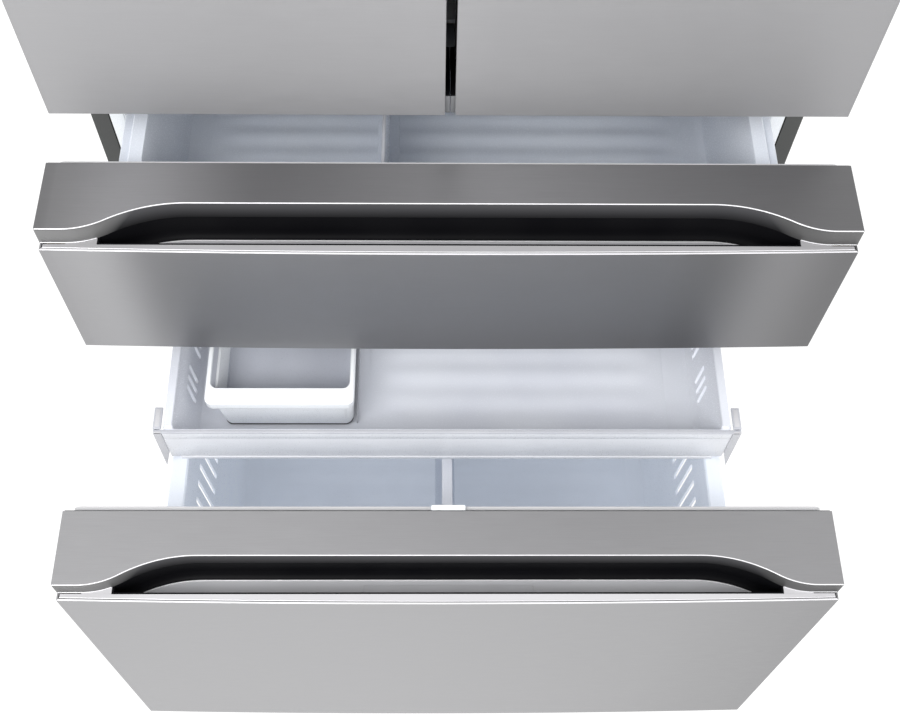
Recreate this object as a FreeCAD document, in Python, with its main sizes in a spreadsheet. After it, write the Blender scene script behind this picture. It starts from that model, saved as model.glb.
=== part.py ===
import FreeCAD, Part
import math
import os
import re

# French door refrigerator, millimetres, +Z up, front towards -Y.
# The row's origin is on the floor, at the middle of the whole footprint with the drawers drawn out.
# Every sub-part is drawn closed, in the front frame: X from the middle, Y back from the flat front
# of the closed doors, Z from the floor. Its Placement then moves it to where it stands at rest.

DIMS = {
    # cabinet
    "case_width": 908.0,
    "case_depth": 785.0,
    "case_base": 40.0,
    "case_top": 1737.0,
    "case_front": 111.0,
    "sheet": 1.0,
    "flange": 22.0,
    "liner": 2.0,
    "cavity_half": 412.0,
    "drawer_cavity": 540.0,
    "fresh_cavity": 730.0,
    "freezer_floor": 79.0,
    "freezer_ceiling": 586.0,
    "middle_floor": 661.0,
    "middle_ceiling": 836.0,
    "fresh_floor": 921.0,
    "fresh_ceiling": 1704.0,
    "machine_front": 712.0,
    "machine_top": 256.0,
    "machine_half": 430.0,
    # feet
    "foot_side": 400.0,
    "foot_front": 160.0,
    "foot_pad": 22.0,
    "foot_pad_height": 8.0,
    "foot_stem": 6.0,
    "roller_back": 840.0,
    "roller_radius": 17.0,
    "roller_axle": 4.0,
    "roller_half": 11.0,
    "running_fit": 0.05,
    # how far the drawers stand open at rest
    "freezer_open": 471.0,
    "middle_open": 154.0,
    "basket_open": 362.0,
    # fronts
    "front_depth": 100.0,
    "front_bow": 4.8,
    "gasket_inset": 9.0,
    "gasket_width": 14.0,
    "gasket_depth": 9.5,
    "freezer_low": 47.5,
    "freezer_high": 617.0,
    "middle_low": 629.5,
    "middle_high": 867.7,
    "doors_low": 886.8,
    "doors_high": 1735.0,
    "centre_gap": 11.5,
    # grip of a drawer: a lip behind a ledge, with a wave that leaves room for the hand
    "lip_back": 9.5,
    "ledge_drop": 27.0,
    "cap_plate": 3.0,
    "wave_outer": 426.0,
    "wave_inner": 291.0,
    "wave_depth": 35.6,
    "wave_end_radius": 95.0,
    "pocket_half": 389.0,
    "pocket_drop": 60.0,
    "pocket_wall": 2.0,
    # grip of a french door: a channel in its inner edge
    "channel_front": 14.0,
    "channel_back": 62.0,
    "channel_deep": 36.0,
    "channel_low": 917.0,
    "channel_high": 1700.0,
    # hinges
    "hinge_side": 436.0,
    "hinge_back": 45.0,
    "hinge_pin": 6.0,
    # bins
    "bin_wall": 3.0,
    "bin_front": 104.0,
    "middle_bin_half": 362.0,
    "middle_rim_half": 388.0,
    "middle_bin_low": 686.0,
    "middle_bin_high": 829.0,
    "middle_bin_back": 600.0,
    "freezer_bin_half": 348.0,
    "freezer_rim_half": 367.0,
    "freezer_bin_low": 98.0,
    "freezer_bin_high": 469.0,
    "freezer_bin_back": 570.0,
    "basket_half": 361.0,
    "basket_wing": 373.5,
    "basket_wing_back": 35.0,
    "basket_low": 487.0,
    "basket_high": 569.0,
    "basket_front": 117.0,
    "basket_back": 560.0,
    "ice_near": 121.5,
    "ice_far": 314.5,
    "ice_low": 494.0,
    "ice_high": 559.0,
    "ice_front": 162.0,
    "ice_back": 402.0,
    "ice_wall": 4.0,
    "ice_ledge": 24.0,
    # fresh food compartment
    "crisper_front": 226.0,
    "crisper_back": 700.0,
    "crisper_low": 932.0,
    "crisper_high": 1100.0,
    "crisper_half": 392.0,
    "shelf_front": 240.0,
    "shelf_back": 820.0,
    "shelf_first": 1112.0,
    "shelf_step": 195.0,
    "shelf_glass": 4.0,
    "shelf_frame": 10.0,
    "shelf_side": 22.0,
    "shelf_edge": 18.0,
    "door_bin_first": 1135.0,
    "door_bin_step": 190.0,
    "door_bin_height": 95.0,
    "door_bin_back": 208.0,
    # folding mullion flap, stored folded back behind the left door
    "flap_near": 24.0,
    "flap_far": 38.0,
    "flap_front": 110.0,
    "flap_reach": 62.0,
    "flap_low": 928.0,
    "flap_high": 1697.0,
    "flap_pin": 3.0,
    "flap_pin_deep": 12.0,
}

doc = FreeCAD.newDocument("refrigerator")
dims = doc.addObject("Spreadsheet::Sheet", "Dims")
for row, (alias, number) in enumerate(DIMS.items(), 1):
    dims.set("A%d" % row, alias)
    dims.set("B%d" % row, str(number))
    dims.setAlias("B%d" % row, alias)
doc.recompute()

ALIAS = re.compile(r"[a-z][a-z_]+")
BACK = "(case_front + case_depth)"
FRONT_PLANE = "(freezer_open + front_bow - case_front - case_depth) / 2"
AXES = {
    "x": FreeCAD.Rotation(FreeCAD.Vector(0, 1, 0), 90),
    "y": FreeCAD.Rotation(FreeCAD.Vector(1, 0, 0), -90),
    "z": FreeCAD.Rotation(),
}
nodes = []


# ---------------------------------------------------------------- building blocks

def bind(item, property_name, text):
    """Binds a property to an expression written in the sheet's aliases."""
    item.setExpression(property_name, ALIAS.sub(lambda found: "Dims." + found.group(0), str(text)))


def box(x, y, z):
    """A block between two places along each axis."""
    item = doc.addObject("Part::Box", "block")
    for axis, size, (low, high) in zip("xyz", ("Length", "Width", "Height"), (x, y, z)):
        bind(item, size, "(%s) - (%s)" % (high, low))
        bind(item, "Placement.Base." + axis, low)
    return item


def cylinder(radius, length, base, axis="z"):
    """A round bar from base along an axis."""
    item = doc.addObject("Part::Cylinder", "bar")
    bind(item, "Radius", radius)
    bind(item, "Height", length)
    item.Placement = FreeCAD.Placement(FreeCAD.Vector(), AXES[axis])
    for name, place in zip("xyz", base):
        bind(item, "Placement.Base." + name, place)
    return item


def fuse(items):
    """One or more solids in one object."""
    if len(items) == 1:
        return items[0]
    item = doc.addObject("Part::MultiFuse", "joined")
    item.Shapes = items
    return item


def cut(base, *tools):
    item = doc.addObject("Part::Cut", "trimmed")
    item.Base = base
    item.Tool = fuse(list(tools))
    return item


def group(*items):
    """A holder that keeps its solids apart, and whose Placement adds to theirs."""
    holder = doc.addObject("Part::Compound", "holder")
    holder.Links = list(items)
    return holder


def across(side, near, far):
    """A stretch of X on the right of the middle (side 1) or on the left (side -1)."""
    if side > 0:
        return near, far
    return "-(%s)" % far, "-(%s)" % near


def ring(x, y, z, width):
    """A rectangular frame that lies in a plane across Y."""
    inner_x = ("(%s) + (%s)" % (x[0], width), "(%s) - (%s)" % (x[1], width))
    inner_z = ("(%s) + (%s)" % (z[0], width), "(%s) - (%s)" % (z[1], width))
    inner_y = ("(%s) - 1" % y[0], "(%s) + 1" % y[1])
    return cut(box(x, y, z), box(inner_x, inner_y, inner_z))


def tub(x, y, z, wall):
    """An open box with a floor."""
    inner_x = ("(%s) + %s" % (x[0], wall), "(%s) - %s" % (x[1], wall))
    inner_y = ("(%s) + %s" % (y[0], wall), "(%s) - %s" % (y[1], wall))
    return cut(box(x, y, z), box(inner_x, inner_y, ("(%s) + %s" % (z[0], wall), "(%s) + 1" % z[1])))


def node(label, item, drawn_out="0"):
    """Names a finished sub-part and moves it from the front frame to its place at rest."""
    if item.TypeId in ("Part::Box", "Part::Cylinder") or "fan" in label:
        item = group(item)
    item.Label = label
    bind(item, "Placement.Base.y", "%s - %s" % (FRONT_PLANE, drawn_out))
    nodes.append(item)


# ---------------------------------------------------------------- sketched bodies

def new_body(name):
    return doc.addObject("PartDesign::Body", name)


def sketch(body, role, height, edges):
    """A closed outline on one of the body's own planes, at a height above it."""
    plane = [p for p in body.Origin.OriginFeatures if p.Role == role][0]
    item = body.newObject("Sketcher::SketchObject", body.Name + "_sketch")
    item.AttachmentSupport = [(plane, "")]
    item.MapMode = "FlatFace"
    bind(item, "AttachmentOffset.Base.z", height)
    item.addGeometry(edges, False)
    return item


def extrude(body, kind, low, high, edges):
    """Pads (or pockets) an outline in XY from low to high."""
    item = body.newObject("PartDesign::" + kind, body.Name + "_" + kind.lower())
    item.Profile = sketch(body, "XY_Plane", low, edges)
    item.Reversed = kind == "Pocket"
    bind(item, "Length", "(%s) - (%s)" % (high, low))
    return item


def revolve(name, points):
    """A solid of revolution about Z from (radius, height) points in the XZ plane."""
    body = new_body(name)
    outline = [FreeCAD.Vector(radius, height, 0) for radius, height in points]
    item = body.newObject("PartDesign::Revolution", name + "_turned")
    item.Profile = sketch(body, "XZ_Plane", "0", polygon(outline))
    item.ReferenceAxis = (item.Profile[0], ["V_Axis"])
    item.Angle = 360
    return body


def polygon(points):
    ends = points[1:] + points[:1]
    return [Part.LineSegment(a, b) for a, b in zip(points, ends)]


def line(a, b):
    return Part.LineSegment(FreeCAD.Vector(*a), FreeCAD.Vector(*b))


def arc(centre, radius, first, last):
    """An arc whose angles are measured from +Y towards +X."""
    def at(angle):
        return FreeCAD.Vector(centre[0] + radius * math.sin(angle), centre[1] + radius * math.cos(angle))
    return Part.Arc(at(first), at((first + last) / 2), at(last))


def wave(start, offset=0.0):
    """The grip's rear edge, from left to right between X = -start and start, moved back by offset."""
    turn = 2 * math.atan(DIMS["wave_depth"] / (DIMS["wave_outer"] - DIMS["wave_inner"]))
    both = (DIMS["wave_outer"] - DIMS["wave_inner"]) / math.sin(turn)
    end_radius = DIMS["wave_end_radius"] - offset
    middle_radius = both - DIMS["wave_end_radius"] + offset
    middle_y = DIMS["lip_back"] + DIMS["wave_depth"] + offset
    lean = math.asin((DIMS["wave_outer"] - start) / end_radius)
    edges = []
    for side in (-1, 1):
        end_centre = (side * DIMS["wave_outer"], DIMS["lip_back"] + DIMS["wave_end_radius"])
        middle_centre = (side * DIMS["wave_inner"], middle_y - middle_radius)
        curve = [
            arc(end_centre, end_radius, math.pi + side * lean, math.pi + side * turn),
            arc(middle_centre, middle_radius, side * turn, 0),
        ]
        edges.append(curve)
    straight = line((-DIMS["wave_inner"], middle_y), (DIMS["wave_inner"], middle_y))
    return edges[0] + [straight] + edges[1][::-1]


def wave_end(start, offset=0.0):
    """The Y of that edge at X = start."""
    radius = DIMS["wave_end_radius"] - offset
    run = DIMS["wave_outer"] - start
    return DIMS["lip_back"] + DIMS["wave_end_radius"] - math.sqrt(radius ** 2 - run ** 2)


def bowed_outline(inset, back):
    """A drawer front seen from above: bowed in front, with straight sides."""
    half = DIMS["case_width"] / 2 - inset
    left = FreeCAD.Vector(-half, inset, 0)
    right = FreeCAD.Vector(half, inset, 0)
    middle = FreeCAD.Vector(0, inset - DIMS["front_bow"], 0)
    sides = [line((half, inset), (half, back)), line((half, back), (-half, back))]
    return [Part.Arc(left, middle, right)] + sides + [line((-half, back), (-half, inset))]


# ---------------------------------------------------------------- cabinet

HALF = "case_width / 2"
CAVITIES = [
    ("fresh_floor", "fresh_ceiling", "fresh_cavity"),
    ("middle_floor", "middle_ceiling", "drawer_cavity"),
    ("freezer_floor", "freezer_ceiling", "drawer_cavity"),
]


def cavity(low, high, depth, grow):
    """The space of one compartment, grown by some wall all round except in front."""
    return box(
        ("-cavity_half - " + grow, "cavity_half + " + grow),
        ("case_front", "case_front + %s + %s" % (depth, grow)),
        ("%s - %s" % (low, grow), "%s + %s" % (high, grow)),
    )


def machine_space():
    return box(("-machine_half", "machine_half"), ("machine_front", BACK), ("case_base", "machine_top"))


def wrapper():
    """Folded steel: two sides, a top and a flange around the front."""
    shell = cut(
        box(("-" + HALF, HALF), ("case_front", BACK + " - 2"), ("case_base", "case_top")),
        box(
            ("sheet - " + HALF, HALF + " - sheet"),
            ("case_front - 1", BACK),
            ("case_base - 1", "case_top - sheet"),
        ),
    )
    front = ring(
        ("sheet - " + HALF, HALF + " - sheet"),
        ("case_front", "case_front + sheet"),
        ("case_base", "case_top - sheet"),
        "flange - sheet",
    )
    return fuse([shell, front])


def foam():
    """Foam fill, in slabs: the sides, the floors between and around the rooms, and what is behind them."""
    wall = "(cavity_half + liner)"
    whole = ("case_front + sheet", BACK + " - 2")
    across_room = ("-" + wall, wall)
    slabs = [box(across(side, wall, HALF + " - sheet"), whole, ("case_base + 2", "case_top - sheet"))
             for side in (-1, 1)]
    start = "case_base + 2"
    for low, high, depth in reversed(CAVITIES):
        behind = ("case_front + %s + liner" % depth, BACK + " - 2")
        slabs.append(box(across_room, whole, (start, low + " - liner")))
        start = high + " + liner"
        slabs.append(box(across_room, behind, (low + " - liner", start)))
    slabs.append(box(across_room, whole, (start, "case_top - sheet")))
    return group(*[cut(slab, machine_space()) for slab in slabs])


def liners():
    """Three vacuum-formed liners, each open in front with a lip that laps the flange."""
    shells = []
    for low, high, depth in CAVITIES:
        outer = box(
            ("-cavity_half - liner", "cavity_half + liner"),
            ("case_front + sheet", "case_front + %s + liner" % depth),
            (low + " - liner", high + " + liner"),
        )
        shells.append(cut(outer, cavity(low, high, depth, "0")))
    return fuse(shells)


def rails_between():
    spans = [("freezer_ceiling + 4", "middle_floor - 4"), ("middle_ceiling + 4", "fresh_floor - 4")]
    inner = "%s - flange" % HALF
    return fuse([box(("-(%s)" % inner, inner), ("case_front", "case_front + sheet"), z) for z in spans])


def base_pan():
    """Pressed pan with sockets for the front legs, forks and axles for the rear rollers, a fan post."""
    parts = [box(("sheet - " + HALF, HALF + " - sheet"), ("case_front + 2", BACK + " - 2"),
                 ("case_base - 2", "case_base"))]
    sockets = []
    for side in (-1, 1):
        foot = ("%d * foot_side" % side, "foot_front", "16")
        parts.append(cylinder("2 * foot_stem", "case_base - 17", foot))
        sockets.append(cylinder("foot_stem + running_fit", "case_base - 18", foot))
        for near in ("foot_side - roller_half - 4", "foot_side + roller_half + 1"):
            cheek = across(side, near, "(%s) + 3" % near)
            parts.append(box(cheek, ("roller_back - 12", "roller_back + 12"), ("12", "case_base - 1")))
        start = "%d * foot_side - roller_half - 4" % side
        parts.append(cylinder("roller_axle", "2 * roller_half + 8", (start, "roller_back", "roller_radius"), "x"))
    parts.append(box(("-124", "-96"), ("846", "850"), ("case_base - 1", "175")))
    parts.append(cylinder("3", "30", ("-110", "818", "150"), "y"))
    return cut(fuse(parts), *sockets)


def toe_grille():
    plate = box(("-440", "440"), ("case_front + 5", "case_front + 8"), ("10", "case_base - 2.5"))
    slots = []
    for column in range(-5, 6):
        for low in ("15", "22", "29"):
            place = 76 * column
            slots.append(box((place - 32, place + 32), ("case_front", "case_front + 12"), (low, low + " + 4")))
    return cut(plate, *slots)


def machine_cover():
    """Rear cover of the machine compartment, with louvres and the boss the supply cord passes through."""
    plate = box(("-445", "445"), (BACK + " - sheet", BACK), ("case_base + 2", "machine_top"))
    boss = cylinder("11", "12", ("330", BACK + " - 12", "110"), "y")
    bore = cylinder("5", "20", ("330", BACK + " - 16", "110"), "y")
    louvres = []
    for column in range(-2, 2):
        for level in range(6):
            low = 90 + 22 * level
            louvres.append(box((90 * column - 35, 90 * column + 35), (BACK + " - 3", BACK + " + 2"), (low, low + 8)))
    hose_hole = cylinder("20", "6", ("-305", BACK + " - 4", "95"), "y")
    return cut(fuse([plate, boss]), bore, hose_hole, *louvres)


def compressor():
    shell = revolve("compressor_shell", [
        (0, 58), (60, 58), (78, 72), (82, 110), (80, 160), (62, 192), (30, 204), (0, 206),
    ])
    shell.Placement.Base = FreeCAD.Vector(180, 805, 0)
    plate = box(("90", "270"), ("745", "865"), ("52", "60"))
    feet = [cylinder("9", "13", (x, y, "40")) for x in ("102", "258") for y in ("757", "853")]
    return fuse([shell, plate] + feet)


def coil(plane_y, left, right, low, high, radius, fins):
    """A serpentine tube of straight passes and half turns, through a row of flat fins."""
    passes = 6
    step = (high - low) / (passes - 1)
    turn = step / 2
    edges = []
    for index in range(passes):
        height = low + index * step
        ends = ((left, plane_y, height), (right, plane_y, height))
        edges.append(line(*ends))
        if index < passes - 1:
            side, out = (right, turn) if index % 2 == 0 else (left, -turn)
            start = FreeCAD.Vector(side, plane_y, height)
            middle = FreeCAD.Vector(side + out, plane_y, height + turn)
            end = FreeCAD.Vector(side, plane_y, height + step)
            edges.append(Part.Arc(start, middle, end))
    path = Part.Wire(Part.__sortEdges__([edge.toShape() for edge in edges]))
    section = Part.Wire(Part.makeCircle(radius, FreeCAD.Vector(left, plane_y, low), FreeCAD.Vector(1, 0, 0)))
    tube = doc.addObject("Part::Feature", "coil_tube")
    tube.Shape = path.makePipeShell([section], True, False)
    pitch = (right - left) / (fins + 1)
    plates = []
    for index in range(fins):
        x = left + (index + 1) * pitch
        plates.append(box((x, x + 1), (plane_y - 18, plane_y + 18), (low - 12, high + 12)))
    return fuse([tube] + plates)


def evaporator_cover():
    """Panel in front of the evaporator, with the fan's opening, its post and air slots."""
    panel = box(("-cavity_half + 4", "cavity_half - 4"), ("case_front + 482", "case_front + 485"),
                ("freezer_floor + 12", "freezer_ceiling - 12"))
    opening = cylinder("62", "20", ("0", "case_front + 475", "505"), "y")
    bars = [
        box(("-74", "74"), ("case_front + 500", "case_front + 503"), ("501", "509")),
        box(("-74", "-68"), ("case_front + 484", "case_front + 501"), ("501", "509")),
        box(("68", "74"), ("case_front + 484", "case_front + 501"), ("501", "509")),
        cylinder("3", "22", ("0", "case_front + 479.5", "505"), "y"),
    ]
    slots = [box((70 * i - 22, 70 * i + 22), ("case_front + 475", "case_front + 490"), ("110", "118"))
             for i in range(-4, 5)]
    return fuse([cut(panel, opening, *slots)] + bars)


def fan(x, start, height, radius, blades):
    """Hub with a bore for its post and slanted blades, turning about Y."""
    depth = 14
    body = new_body("fan_hub")
    hub = [Part.Circle(FreeCAD.Vector(), FreeCAD.Vector(0, 0, 1), 16)]
    hub.append(Part.Circle(FreeCAD.Vector(), FreeCAD.Vector(0, 0, 1), 3 + DIMS["running_fit"]))
    extrude(body, "Pad", "0", str(depth), hub)
    blade = new_body("fan_blade")
    points = [(12, -9), (radius, -24), (radius + 2, 2), (14, 8)]
    extrude(blade, "Pad", "5", "8", polygon([FreeCAD.Vector(a, b, 0) for a, b in points]))
    doc.recompute()
    turned = []
    for index in range(blades):
        copy = doc.addObject("Part::Feature", "fan_blade_copy")
        shape = blade.Shape.copy()
        shape.rotate(FreeCAD.Vector(20, 0, 6), FreeCAD.Vector(1, 0, 0), 24)
        shape.rotate(FreeCAD.Vector(), FreeCAD.Vector(0, 0, 1), index * 360 / blades)
        copy.Shape = shape.cut(Part.makeCylinder(12, 40, FreeCAD.Vector(0, 0, -10)))
        turned.append(copy)
    wheel = fuse([body] + turned)
    wheel.Placement = FreeCAD.Placement(FreeCAD.Vector(x, 0, height), AXES["y"])
    bind(wheel, "Placement.Base.y", start)
    return wheel


def water_valve():
    """Inlet valve at the back: a block, its solenoid and the threaded inlet that the supply hose screws on."""
    block = box(("-330", "-280"), ("835", "870"), ("70", "120"))
    inlet = cylinder("13", "24", ("-305", "868", "95"), "y")
    solenoid = cylinder("16", "40", ("-305", "852", "118"))
    return fuse([block, inlet, solenoid])


def levelling_leg(side):
    pad = cylinder("foot_pad", "foot_pad_height", ("%d * foot_side" % side, "foot_front", "0"))
    stem = cylinder("foot_stem", "case_base - foot_pad_height - 3",
                    ("%d * foot_side" % side, "foot_front", "foot_pad_height"))
    nut = cylinder("foot_stem + 5", "5", ("%d * foot_side" % side, "foot_front", "foot_pad_height"))
    return fuse([pad, stem, nut])


def roller(side):
    start = "%d * foot_side - roller_half" % side
    tyre = cylinder("roller_radius", "2 * roller_half", (start, "roller_back", "roller_radius"), "x")
    bore = cylinder("roller_axle + running_fit", "2 * roller_half + 2",
                    (start + " - 1", "roller_back", "roller_radius"), "x")
    return cut(tyre, bore)


def hinges():
    """Four hinge plates, with the pins that the doors turn on."""
    solids = []
    for side in (-1, 1):
        pin = ("%d * hinge_side" % side, "hinge_back")
        top = box(across(side, "hinge_side - 70", "hinge_side + 14"), ("hinge_back - 14", "case_front + 90"),
                  ("case_top", "case_top + 5"))
        top_pin = cylinder("hinge_pin", "33", pin + ("case_top - 30",))
        solids.append(fuse([top, top_pin]))
        low = box(across(side, "hinge_side - 16", "hinge_side + 14"), ("hinge_back - 12", "case_front"),
                  ("doors_low - 12", "doors_low - 7"))
        ear = box(across(side, "hinge_side - 50", "hinge_side - 4"), ("case_front - 1", "case_front"),
                  ("middle_ceiling + 10", "doors_low - 7"))
        low_pin = cylinder("hinge_pin", "36", pin + ("doors_low - 9",))
        solids.append(fuse([low, ear, low_pin]))
    return fuse(solids)


def hinge_covers():
    """Two domed covers over the top hinges, open below."""
    covers = []
    for side in (-1, 1):
        x = across(side, "hinge_side - 84", "hinge_side + 18")
        room = across(side, "hinge_side - 81", "hinge_side + 15")
        outer = box(x, ("hinge_back - 20", "case_front + 110"), ("case_top + 0", "case_top + 35"))
        inner = box(room, ("hinge_back - 17", "case_front + 107"), ("case_top - 1", "case_top + 32"))
        covers.append(cut(outer, inner))
    return fuse(covers)


def shelf_panes():
    """Three panes of tempered glass."""
    panes = []
    for level in range(3):
        low = "shelf_first + 3 + %d * shelf_step" % level
        panes.append(box(
            ("shelf_side - cavity_half", "cavity_half - shelf_side"),
            ("shelf_front + shelf_edge", "shelf_back - shelf_edge"),
            (low, low + " + shelf_glass"),
        ))
    return fuse(panes)


def shelf_frames():
    """The moulded frame round each pane."""
    frames = []
    for level in range(3):
        low = "shelf_first + %d * shelf_step" % level
        outer = box(("3 - cavity_half", "cavity_half - 3"), ("shelf_front", "shelf_back"),
                    (low, low + " + shelf_frame"))
        inner = box(
            ("shelf_side - cavity_half", "cavity_half - shelf_side"),
            ("shelf_front + shelf_edge", "shelf_back - shelf_edge"),
            (low + " - 1", low + " + shelf_frame + 1"),
        )
        frames.append(cut(outer, inner))
    return fuse(frames)


def rail(side, near, far, y, z, groove):
    """A slide member with a running groove in the face it shows the middle."""
    bar = box(across(side, near, far), y, z)
    low = "(%s) + 6" % z[0]
    high = "(%s) - 6" % z[1]
    slot = box(across(side, "(%s) - 1" % near, "(%s) + %s" % (near, groove)),
               ("(%s) - 1" % y[0], "(%s) + 1" % y[1]), (low, high))
    return cut(bar, slot)


MIDDLE_SLIDE = ("700", "736")
FREEZER_SLIDE = ("300", "345")


def cabinet_rails():
    rails = []
    for side in (-1, 1):
        for z, reach in ((MIDDLE_SLIDE, 630), (FREEZER_SLIDE, 585)):
            rails.append(rail(side, "cavity_half - 13", "cavity_half - 0.5", ("118", reach), z, "5"))
        rails.append(box(across(side, "basket_half + 4", "cavity_half - 0.5"),
                         ("basket_front + basket_wing_back + 5", "585"), ("515", "523.5")))
    return fuse(rails)


# ---------------------------------------------------------------- french doors

FLAP_AXIS = ("-(flap_near + flap_far) / 2", "flap_front + 7")


def door_x(side, inset="0"):
    return across(side, "centre_gap / 2 + " + inset, "%s - %s" % (HALF, inset))


def hinge_bores(side):
    pin = ("%d * hinge_side" % side, "hinge_back")
    return [
        cylinder("hinge_pin + running_fit", "50", pin + ("doors_low - 10",)),
        cylinder("hinge_pin + running_fit", "50", pin + ("doors_high - 38",)),
    ]


def channel(side, grow):
    """The hand channel in a door's inner edge, grown by its wall."""
    return box(
        across(side, "centre_gap / 2 - 1", "channel_deep + " + grow),
        ("channel_front - " + grow, "channel_back + " + grow),
        ("channel_low - " + grow, "channel_high + " + grow),
    )


def french_door(side, name):
    height = ("doors_low", "doors_high")
    inside = ("doors_low + sheet", "doors_high - sheet")
    panel_y = ("front_depth - 2", "front_depth")

    shell = box(door_x(side), ("0", "front_depth - 2"), height)
    hollow = box(door_x(side, "sheet"), ("sheet", "front_depth"), inside)
    node(name + "_door_skin", cut(shell, hollow, channel(side, "pocket_wall"), *hinge_bores(side)))

    block = box(door_x(side, "sheet"), ("sheet", "front_depth - 2"), inside)
    node(name + "_door_core", cut(block, channel(side, "pocket_wall"), *hinge_bores(side)))

    outer = box(
        across(side, "centre_gap / 2", "channel_deep + pocket_wall"),
        ("channel_front - pocket_wall", "channel_back + pocket_wall"),
        ("channel_low - pocket_wall", "channel_high + pocket_wall"),
    )
    node(name + "_door_grip", cut(outer, channel(side, "0")))

    plate = box(door_x(side, "sheet"), panel_y, inside)
    rails = [
        box(across(side, near, "(%s) + 14" % near), ("front_depth - 1", "front_depth + 52"), ("1125", "1690"))
        for near in ("46", "388")
    ]
    ears = flap_ears() if side < 0 else []
    node(name + "_door_inner_panel", fuse([plate] + rails + ears))

    seal = ring(
        door_x(side, "4"),
        ("front_depth", "front_depth + gasket_depth"),
        ("doors_low + 6", "doors_high - 6"),
        "gasket_width",
    )
    node(name + "_door_gasket", seal)

    bins = []
    for level in range(3):
        low = "door_bin_first + %d * door_bin_step" % level
        bins.append(tub(across(side, "61", "387"), ("front_depth + 1", "door_bin_back"),
                        (low, low + " + door_bin_height"), "bin_wall"))
    node(name + "_door_bins", fuse(bins))


def flap_ears():
    """Two ears on the left door, below and above the mullion flap, with the pins that it folds on."""
    parts = []
    for low, pin_low in (("flap_low - 5", "flap_low - 3"), ("flap_high + 1", "flap_high - flap_pin_deep")):
        parts.append(box(("-flap_far", "-flap_near"), ("front_depth - 1", "flap_front + 14"), (low, low + " + 4")))
        parts.append(cylinder("flap_pin", "flap_pin_deep + 3", FLAP_AXIS + (pin_low,)))
    return parts


def mullion_flap():
    """Folding bar on the left door that closes the gap between the doors. It is stored folded back."""
    bar = box(("-flap_far", "-flap_near"), ("flap_front", "flap_front + flap_reach"), ("flap_low", "flap_high"))
    bores = [
        cylinder("flap_pin + running_fit", "flap_pin_deep + 3", FLAP_AXIS + (low,))
        for low in ("flap_low - 2", "flap_high - flap_pin_deep - 1")
    ]
    slots = [
        box(("-flap_far - 1", "2 - flap_far"), ("flap_front + 16", "flap_front + 56"), (z, z + 30))
        for z in range(960, 1640, 60)
    ]
    return cut(bar, *bores, *slots)


# ---------------------------------------------------------------- drawers

def drawer_front(name, low, high, drawn_out):
    """The pieces of a drawer's front: bowed skin, cap with the wave, grip pocket, core, panel, gasket."""
    half = DIMS["case_width"] / 2
    lip = DIMS["lip_back"]
    sheet = DIMS["sheet"]
    back = DIMS["front_depth"] - 2
    ledge = high + " - ledge_drop"

    skin = new_body(name + "_skin_body")
    extrude(skin, "Pad", low, ledge, bowed_outline(0, back))
    room = bowed_outline(sheet, back + 1)
    extrude(skin, "Pocket", low + " + sheet", ledge + " - sheet", room)
    behind = [(-half, lip), (half, lip), (half, back + 1), (-half, back + 1)]
    corners = [FreeCAD.Vector(x, y, 0) for x, y in behind]
    extrude(skin, "Pocket", ledge + " - sheet", ledge, polygon(corners))
    node(name + "_skin", skin, drawn_out)

    cap = new_body(name + "_cap_body")
    front = wave(DIMS["wave_outer"])
    ends = [
        line((-half, lip), (-DIMS["wave_outer"], lip)),
        line((DIMS["wave_outer"], lip), (half, lip)),
        line((half, lip), (half, back)),
        line((half, back), (-half, back)),
        line((-half, back), (-half, lip)),
    ]
    extrude(cap, "Pad", high + " - cap_plate", high, front + ends)
    for side in (-1, 1):
        near = side * (DIMS["pocket_half"] + DIMS["pocket_wall"])
        far = side * half
        thin = far - side * sheet
        lip_back = lip + sheet
        corners = [(near, lip), (far, lip), (far, back), (thin, back), (thin, lip_back), (near, lip_back)]
        outline = polygon([FreeCAD.Vector(x, y, 0) for x, y in corners])
        extrude(cap, "Pad", ledge, high + " - cap_plate", outline)
    node(name + "_cap", cap, drawn_out)

    wall = DIMS["pocket_wall"]
    inner = DIMS["pocket_half"]

    def grip_outline(grow):
        start = inner + grow
        deep = wave_end(start, grow)
        front_y = lip - grow
        ends = [
            line((-start, front_y), (start, front_y)),
            line((start, front_y), (start, deep)),
            line((-start, front_y), (-start, deep)),
        ]
        return wave(start, grow) + ends

    floor = high + " - pocket_drop"
    pocket = new_body(name + "_pocket_body")
    top = high + " - cap_plate"
    extrude(pocket, "Pad", floor + " - pocket_wall", top, grip_outline(wall))
    extrude(pocket, "Pocket", floor, top, grip_outline(0))
    above = [(-inner - wall, lip - wall), (inner + wall, lip - wall), (inner + wall, lip), (-inner - wall, lip)]
    corners = [FreeCAD.Vector(x, y, 0) for x, y in above]
    extrude(pocket, "Pocket", ledge + " - sheet", top, polygon(corners))
    node(name + "_pocket", pocket, drawn_out)

    core = new_body(name + "_core_body")
    extrude(core, "Pad", low + " + sheet", ledge + " - sheet", bowed_outline(sheet, back))
    step = lip + sheet
    behind = [(-half + sheet, step), (half - sheet, step), (half - sheet, back), (-half + sheet, back)]
    corners = [FreeCAD.Vector(x, y, 0) for x, y in behind]
    extrude(core, "Pad", ledge + " - sheet", top, polygon(corners))
    extrude(core, "Pocket", floor + " - pocket_wall", top, grip_outline(wall))
    node(name + "_core", core, drawn_out)

    panel = box(
        ("sheet - " + HALF, HALF + " - sheet"),
        ("front_depth - 2", "front_depth"),
        (low + " + sheet", high + " - sheet"),
    )
    node(name + "_inner_panel", panel, drawn_out)

    seal = ring(
        ("gasket_inset - " + HALF, HALF + " - gasket_inset"),
        ("front_depth", "front_depth + gasket_depth"),
        (low + " + gasket_inset", high + " - gasket_inset"),
        "gasket_width",
    )
    node(name + "_gasket", seal, drawn_out)


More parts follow.
